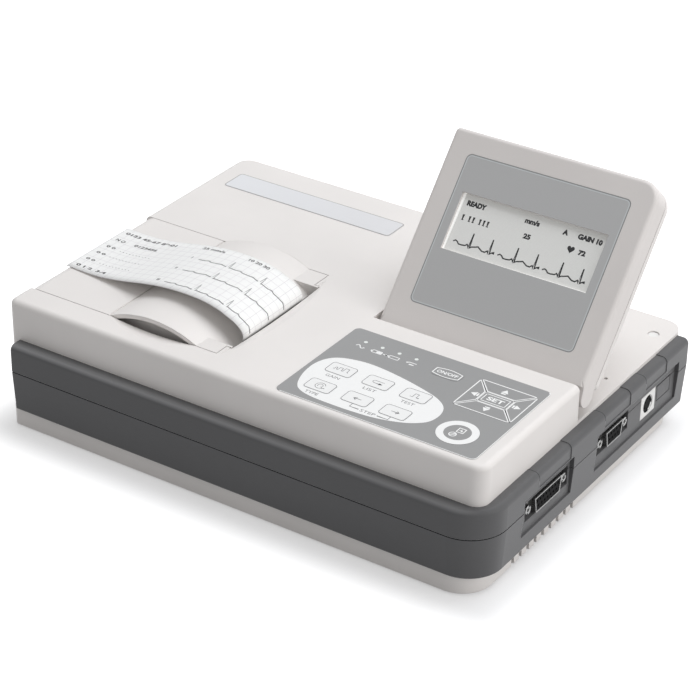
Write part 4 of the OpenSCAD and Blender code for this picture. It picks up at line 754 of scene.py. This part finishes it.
# Painted light: the upward-facing front ledge, most at the left, is mixed to a paler grey as if lit.
LEDGE_LIGHT_FROM, LEDGE_LIGHT_FULL, BAND_X = -97.5, -102.5, 140.0
upward = between(tree, facing["Z"], 0.0, 1.0, 0.4, 0.9)
frontward = between(tree, spot["Y"], 0.0, 1.0, LEDGE_LIGHT_FROM * MM, LEDGE_LIGHT_FULL * MM)
leftward = between(tree, spot["X"], 1.0, 0.5, -BAND_X * MM, BAND_X * MM)
ledge_light_mask = reckon(tree, "MULTIPLY", reckon(tree, "MULTIPLY", frontward, upward), leftward)
painted_ledge_light = blend(tree, ledge_light_mask, skin.inputs["Base Color"].links[0].from_socket, shade(143, 143, 144))
fill(tree, skin, {"Base Color": painted_ledge_light})
dress(band_dark, "lower_band", "upper_band")
joint_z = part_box("lower_band")[1].z


def in_joint(x, y, h):
    """A point on the lower band's upper edge, in the joint under the upper band."""
    return x * MM, y * MM, joint_z + h * MM


# Painted shade: a near-black film in the gap between the bands deepens the gap's shade.
joint_shade = film("joint_shade", shade(12, 12, 12), 0.8, sheen=0.05)
printed("band_joint_shade", field(rim_of("lower_band")), in_joint, joint_shade, "case")
LEDGE_X, LEDGE_Z, LEDGE_R = 133.8, 48.0, 3.0


def on_ledge(s, y, h):
    """A point on the right-hand ledge: s runs out from the wall, over the round edge and down the side."""
    flat = BAND_X - LEDGE_R - LEDGE_X
    bend = min(max(s - flat, 0.0), LEDGE_R * math.pi / 2) / LEDGE_R
    down = max(s - flat - LEDGE_R * math.pi / 2, 0.0)
    return ((LEDGE_X + min(s, flat) + (LEDGE_R + h) * math.sin(bend)) * MM, y * MM,
            (LEDGE_Z - LEDGE_R + (LEDGE_R + h) * math.cos(bend) - down) * MM)


# Painted shadow: dark lines along the near edges of the label fields stand for the shade of their step.
step_shadow = film("step_shadow", shade(52, 52, 53), 0.6)
SHADOW_POINT_STEP, STEP_SHADOW_LINE = 0.45, 0.36
label_step_shadows = []
for y in (-55.0, 8.0, 50.0):
    label_step_shadows += line([(SHADOW_POINT_STEP * k, y - 0.2) for k in range(21)], STEP_SHADOW_LINE)
printed("label_step_shadows", label_step_shadows, on_ledge, step_shadow, "case")

# Sockets on the right side: two trapezoid shells drawn from tin-plated steel, round black contact blocks with
# their contact mouths painted darker as painted shade, threaded posts either side whose slots are painted
# dark as painted shade, and a white plate with the round auxiliary socket, its shield with a painted
# highlight.
def metal(name, colour, rough, soften=0.2):
    """Plain or plated metal: colour in the reflection, with fine rubbing marks in the gloss.

    Soften is the rounding of its edges in millimetres.
    """
    finish, tree, skin, where = new_finish(name)
    marks = noise(tree, where, 700.0, 4.0)
    soft = wire(tree, "ShaderNodeBevel", {"Radius": soften * MM}, samples=6)
    fill(tree, skin, {"Base Color": two_tones(tree, marks, tone(colour, 0.93), tone(colour, 1.04)),
                      "Roughness": between(tree, marks, rough - 0.08, rough + 0.08),
                      "Normal": soft.outputs["Normal"], "Metallic": 1.0})
    return finish


plated = metal("plated", shade(166, 166, 165), 0.28, soften=0.5)
dress(plated, "socket_shells", "jack_screws")
black_plastic = moulded("black_plastic", shade(18, 18, 19), 0.6, pebble=0.3, depth=0.03, wear_and_highlight=1.3, soften=0.2,
                        sheen=0.06)
dress(black_plastic, "socket_inserts", "mains_inlet", "switch_housing", "paper_spindle")
white_plastic = moulded("white_plastic", shade(238, 237, 235), 0.4, depth=0.02)
dress(white_plastic, "aux_socket", "platen_gear")


def on_side(x):
    """A place on a face that looks right, at a distance across the case: y runs back and z up."""
    return lambda y, z, h: ((x + h) * MM, y * MM, z * MM)


SOCKET_Z, CONTACT_FACE, JACK_FACE = 29.8, 138.6, 137.8
SOCKETS = ((-43.7, 33.3, 7), (21.0, 25.0, 4))
CONTACT_PITCH, CONTACT_ROW, MOUTH_R, MOUTH_HOLE = 2.76, 1.4, 0.95, 0.55
POST_HOLE, POST_CORE, THREAD_IN, THREAD_PITCH = 1.4, 1.0, 0.15, 0.64
NOTCH_FROM, NOTCH_TO, NOTCH_WIDE = 1.46, 2.36, 0.75
mouth_shades, slot_shades, threads = [], [], []
for middle, pitch, low_count in SOCKETS:
    for count, up in ((low_count + 1, CONTACT_ROW), (low_count, -CONTACT_ROW)):
        for i in range(count):
            at = middle + (i - (count - 1) / 2) * CONTACT_PITCH, SOCKET_Z + up
            mouth_shades += field(ring(MOUTH_R, at, 16), ring(MOUTH_HOLE, at, 16))
    for side, turns in ((-1, (60, 240)), (1, (35, 215))):
        at = middle + side * pitch / 2, SOCKET_Z
        threads += field(ring(POST_HOLE, at, 20), ring(POST_CORE, at, 20))
        for a in turns:
            way = Vector((math.cos(math.radians(a)), math.sin(math.radians(a))))
            slot_shades += line([Vector(at) + way * NOTCH_FROM, Vector(at) + way * NOTCH_TO], NOTCH_WIDE)
contact_black = film("contact_black", shade(8, 8, 9), 0.7, sheen=0.06)
# Painted shade: near-black rings round the contact holes darken their mouths.
printed("contact_mouth_shades", mouth_shades, on_side(CONTACT_FACE), contact_black, "case")
# Painted shade: dark lines across each post stand for the shade in its slots.
printed("jack_slot_shades", slot_shades, on_side(JACK_FACE), contact_black, "case")
for turn in range(4):
    printed(f"jack_threads_{turn + 1}", threads, on_side(JACK_FACE - THREAD_IN - THREAD_PITCH * turn), plated,
            "case")

AUX_AT, AUX_FACE = (58.2, 27.6), 137.4
# Painted highlight: white arcs where the socket's metal shield catches the light.
shield_glint = line(arc(4.25, -72, -14, AUX_AT, 12), 0.9) + line(arc(4.5, 8, 50, AUX_AT, 8), 0.3)
printed("aux_shield_glint", shield_glint, on_side(AUX_FACE), ink_white, "case")

# Power panel on the left side: a painted steel plate behind an opening, with the inlet, the mains switch
# and a brass earth stud under its sign. The rocker carries the usual bar and circle.
panel_paint = moulded("panel_paint", shade(150, 150, 153), 0.42, pebble=0.8, depth=0.04, wear_and_highlight=1.1)
dress(panel_paint, "power_panel")
rocker_red = moulded("rocker_red", shade(176, 44, 36), 0.3, depth=0.02, wear_and_highlight=1.15, soften=0.3)
dress(rocker_red, "rocker")
ROCKER_AT, ROCKER_Z, ROCKER_TURN = Vector((-127.5, 83.0)), 33.0, math.radians(8)
RIDGE, LEAN = 4.6, math.atan(1.2 / 8.6)


def on_rocker(u, v, h):
    """A point on the rocker's two faces as seen from outside, from the middle of the ridge between them."""
    out = Vector((-math.cos(LEAN), -math.copysign(math.sin(LEAN), u)))
    spot = Vector((abs(u) * math.tan(LEAN) - RIDGE, -u)) + out * h
    spot = ROCKER_AT + Matrix.Rotation(ROCKER_TURN, 2) @ spot
    return spot.x * MM, spot.y * MM, (ROCKER_Z + v) * MM


MARK = 4.7
rocker_marks = field(loop(0.8, 4.4, 0.2, (MARK, 0.0))) + line(ring(1.7, (-MARK, 0.0)), 0.7, closed=True)
printed("rocker_marks", rocker_marks, on_rocker, ink_white, "mains_rocker")
EARTH_Y, EARTH_Z, PANEL_X, EARTH_LINE = 26.0, 38.5, -130.5, 0.45


def on_panel(u, v, h):
    """A point on the power panel as seen from outside, from the middle of the earth sign."""
    return (PANEL_X - h) * MM, (EARTH_Y - u) * MM, (EARTH_Z + v) * MM


earth_sign = line([(0.0, 2.6), (0.0, 0.3)], EARTH_LINE) + line(ring(3.7), 0.4, closed=True)
for v, half in ((0.1, 2.2), (-0.9, 1.4), (-1.9, 0.6)):
    earth_sign += line([(-half, v), (half, v)], EARTH_LINE)
printed("earth_sign", earth_sign, on_panel, contact_black, "case")

# Feet, screws, hinge parts and the works inside: moulded rubber feet, zinc-plated cross-head screws whose
# cross recesses are painted dark as painted shade, with a white cap on the one in the deck, steel pins and
# brackets, brass bushes, glass-fibre boards, a wrapped battery pack and the recorder's tray.
rubber = moulded("rubber", shade(46, 46, 47), 0.75, pebble=0.5, depth=0.12, wear_and_highlight=1.2)
dress(rubber, "rubber_feet", "platen_roller")
steel = metal("steel", shade(186, 186, 188), 0.34)
dress(steel, "case_screws", "display_screws", "display_pins", "hinge_brackets", "door_pin", "platen_shaft",
      "head_spring", "tear_bar")
# Painted shade: the screws' cross recesses are a dark film, not cut.
SLOT, SLOT_END, SMALL_HEAD = 0.7, 1.5, 0.7
cross = line([(-SLOT_END, 0.0), (-SLOT / 2, 0.0)], SLOT) + line([(SLOT / 2, 0.0), (SLOT_END, 0.0)], SLOT)
cross += line([(0.0, -SLOT_END), (0.0, SLOT_END)], SLOT)
screw_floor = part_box("case_screws")[0].z / MM


def under_case(u, v, h):
    """A point on the heads of the lower case screws, seen from below."""
    return u * MM, -v * MM, (screw_floor - h) * MM


low_cross_shades = [[Vector((p[0] + x, p[1] - y)) for p in shape] for shape in cross
               for x, y in ((-129.0, -89.0), (0.0, -89.0), (126.0, -89.0), (-106.0, 93.5), (0.0, 93.5))]
printed("case_screw_cross_shades", low_cross_shades, under_case, contact_black, "case")
display_out = Vector((0.0, -math.sin(TILT), math.cos(TILT)))
hinge = Vector((0.0, HINGE_Y, HINGE_Z)) * MM
screw_back = min((v.co - hinge).dot(display_out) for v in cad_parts["display_screws"].data.vertices) / MM


def behind_display(u, v, h):
    """A point on the heads of the display's screws, seen from behind."""
    return on_display(screw_back)(u, -v, -h)


back_cross_shades = [[Vector((p[0] * SMALL_HEAD + x, p[1] * SMALL_HEAD - y)) for p in shape]
                for shape in cross for x, y in ((27.2, 20.0), (127.6, 20.0), (27.2, 94.0), (122.6, 94.0))]
printed("display_screw_cross_shades", back_cross_shades, behind_display, contact_black, "display")
DECK_SCREW, CAP_R, CAP_Z = (124.2, 87.0), 2.7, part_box("case_screws")[1].z / MM


def on_deck_screw(x, y, h):
    """A point on the cap over the deck's screw."""
    return (DECK_SCREW[0] + x) * MM, (DECK_SCREW[1] + y) * MM, (CAP_Z + h) * MM


printed("deck_screw_cap", field(ring(CAP_R)), on_deck_screw, white_plastic, "case")
brass = metal("brass", shade(206, 172, 106), 0.3)
dress(brass, "platen_bushes", "motor_pinion", "earth_stud")
motor_metal = metal("motor_metal", shade(160, 160, 162), 0.45)
dress(motor_metal, "feed_motor")
tray_plastic = moulded("tray_plastic", shade(176, 176, 174), 0.5)
dress(tray_plastic, "recorder_tray")
ceramic = film("ceramic", shade(222, 220, 212), 0.25)
dress(ceramic, "print_head")
battery_wrap = film("battery_wrap", shade(78, 108, 160), 0.35)
dress(battery_wrap, "battery_pack")
board, tree, skin, where = new_finish("board")
tracks = wire(tree, "ShaderNodeTexBrick", {"Vector": where, "Scale": 1.0, "Color1": shade(42, 116, 72),
                                           "Color2": shade(36, 106, 64), "Mortar": shade(64, 140, 92),
                                           "Mortar Size": 0.0004, "Brick Width": 0.011, "Row Height": 0.004})
fill(tree, skin, {"Base Color": tracks.outputs["Color"],
                  "Roughness": between(tree, tracks.outputs["Fac"], 0.35, 0.45)})
dress(board, "main_board", "keypad_board", "screen_board", "power_supply")

# Studio: a pale floor that runs out to white, its glow lowered near the case as a painted shadow, an even
# sky, a large soft lamp overhead and a soft lamp at the right, and the camera at the height of a standing
# operator's eyes.
def to_eye(tree):
    """One for light on its way to the camera, also by way of gloss or glass, and nought for the rest."""
    seen = wire(tree, "ShaderNodeLightPath").outputs
    straight = reckon(tree, "MAXIMUM", seen["Is Camera Ray"], seen["Is Glossy Ray"])
    return reckon(tree, "MAXIMUM", straight, seen["Is Transmission Ray"])


FLOOR, FLOOR_DROP = 6.0, 0.0002
FOOTPRINT, PAINTED_SHADOW_REACH = (0.138, 0.102, 0.0), 0.03
floor_mesh = bpy.data.meshes.new("floor")
floor_mesh.from_pydata([(-FLOOR, -FLOOR, 0), (FLOOR, -FLOOR, 0), (FLOOR, FLOOR, 0), (-FLOOR, FLOOR, 0)], [],
                       [(0, 1, 2, 3)])
floor = bpy.data.objects.new("floor", floor_mesh)
bpy.context.scene.collection.objects.link(floor)
floor.location.z = -FLOOR_DROP
floor_white = bpy.data.materials.new("floor_white")
floor_white.use_nodes = True
tree = floor_white.node_tree
tree.nodes.clear()
apart = wire(tree, "ShaderNodeTexCoord").outputs["Object"]
for operation, other in (("ABSOLUTE", {}), ("SUBTRACT", {1: FOOTPRINT}), ("MAXIMUM", {1: (0.0, 0.0, 0.0)})):
    apart = wire(tree, "ShaderNodeVectorMath", {0: apart, **other}, operation=operation).outputs["Vector"]
away = wire(tree, "ShaderNodeVectorMath", {0: apart}, operation="LENGTH").outputs["Value"]
# Painted shadow: the floor's glow is lower within a few centimetres of the case's footprint.
painted_shadow_glow = wire(tree, "ShaderNodeMapRange", {"Value": away, "From Min": 0.0, "From Max": PAINTED_SHADOW_REACH, "To Min": 0.42,
                                         "To Max": 0.82}, interpolation_type="SMOOTHSTEP").outputs["Result"]
matt = wire(tree, "ShaderNodeBsdfDiffuse", {"Color": shade(200, 200, 201)})
glow = wire(tree, "ShaderNodeEmission", {"Color": (1.0, 1.0, 1.0, 1.0),
                                         "Strength": reckon(tree, "MULTIPLY", to_eye(tree), painted_shadow_glow)})
both = wire(tree, "ShaderNodeAddShader", {0: matt.outputs[0], 1: glow.outputs[0]})
wire(tree, "ShaderNodeOutputMaterial", {"Surface": both.outputs[0]})
floor_mesh.materials.append(floor_white)

sky = bpy.data.worlds.new("sky")
bpy.context.scene.world = sky
sky.use_nodes = True
tree = sky.node_tree
tree.nodes.clear()
dim = wire(tree, "ShaderNodeBackground", {"Color": (1.0, 1.0, 1.0, 1.0), "Strength": 0.42})
bright = wire(tree, "ShaderNodeBackground", {"Color": (1.0, 1.0, 1.0, 1.0), "Strength": 1.0})
mixed = wire(tree, "ShaderNodeMixShader", {0: to_eye(tree), 1: dim.outputs[0], 2: bright.outputs[0]})
wire(tree, "ShaderNodeOutputWorld", {"Surface": mixed.outputs[0]})


def lamp(name, place, aim, size, power, colour):
    """A square soft lamp that points at a place."""
    light = bpy.data.lights.new(name, "AREA")
    light.shape, light.size, light.energy, light.color = "SQUARE", size, power, colour
    holder = bpy.data.objects.new(name, light)
    bpy.context.scene.collection.objects.link(holder)
    holder.location = place
    holder.rotation_euler = (Vector(aim) - Vector(place)).to_track_quat("-Z", "Y").to_euler()


lamp("lamp_overhead", (0.2, 0.55, 1.6), (0.0, 0.0, 0.0), 1.3, 17.8, (0.95, 0.97, 1.0))
lamp("lamp_right", (1.7, 0.2, 0.55), (0.0, 0.0, 0.05), 1.1, 10.0, (1.0, 0.985, 0.975))

EYE = (0.57118, -0.87515, 0.64564)
AZIMUTH, ELEVATION, ROLL = math.radians(33.16), math.radians(30.08), math.radians(0.861)
back = Vector((math.sin(AZIMUTH) * math.cos(ELEVATION), -math.cos(AZIMUTH) * math.cos(ELEVATION),
               math.sin(ELEVATION)))
level = (-back).cross(Vector((0, 0, 1))).normalized()
upright = back.cross(level)
right = level * math.cos(ROLL) + upright * math.sin(ROLL)
top = upright * math.cos(ROLL) - level * math.sin(ROLL)
view = bpy.data.cameras.new("view")
view.lens, view.sensor_width = 123.8, 36.0
camera = bpy.data.objects.new("view", view)
bpy.context.scene.collection.objects.link(camera)
camera.matrix_world = Matrix.Translation(EYE) @ Matrix((right, top, back)).transposed().to_4x4()
bpy.context.scene.camera = camera
bpy.context.scene.view_settings.view_transform = "Standard"
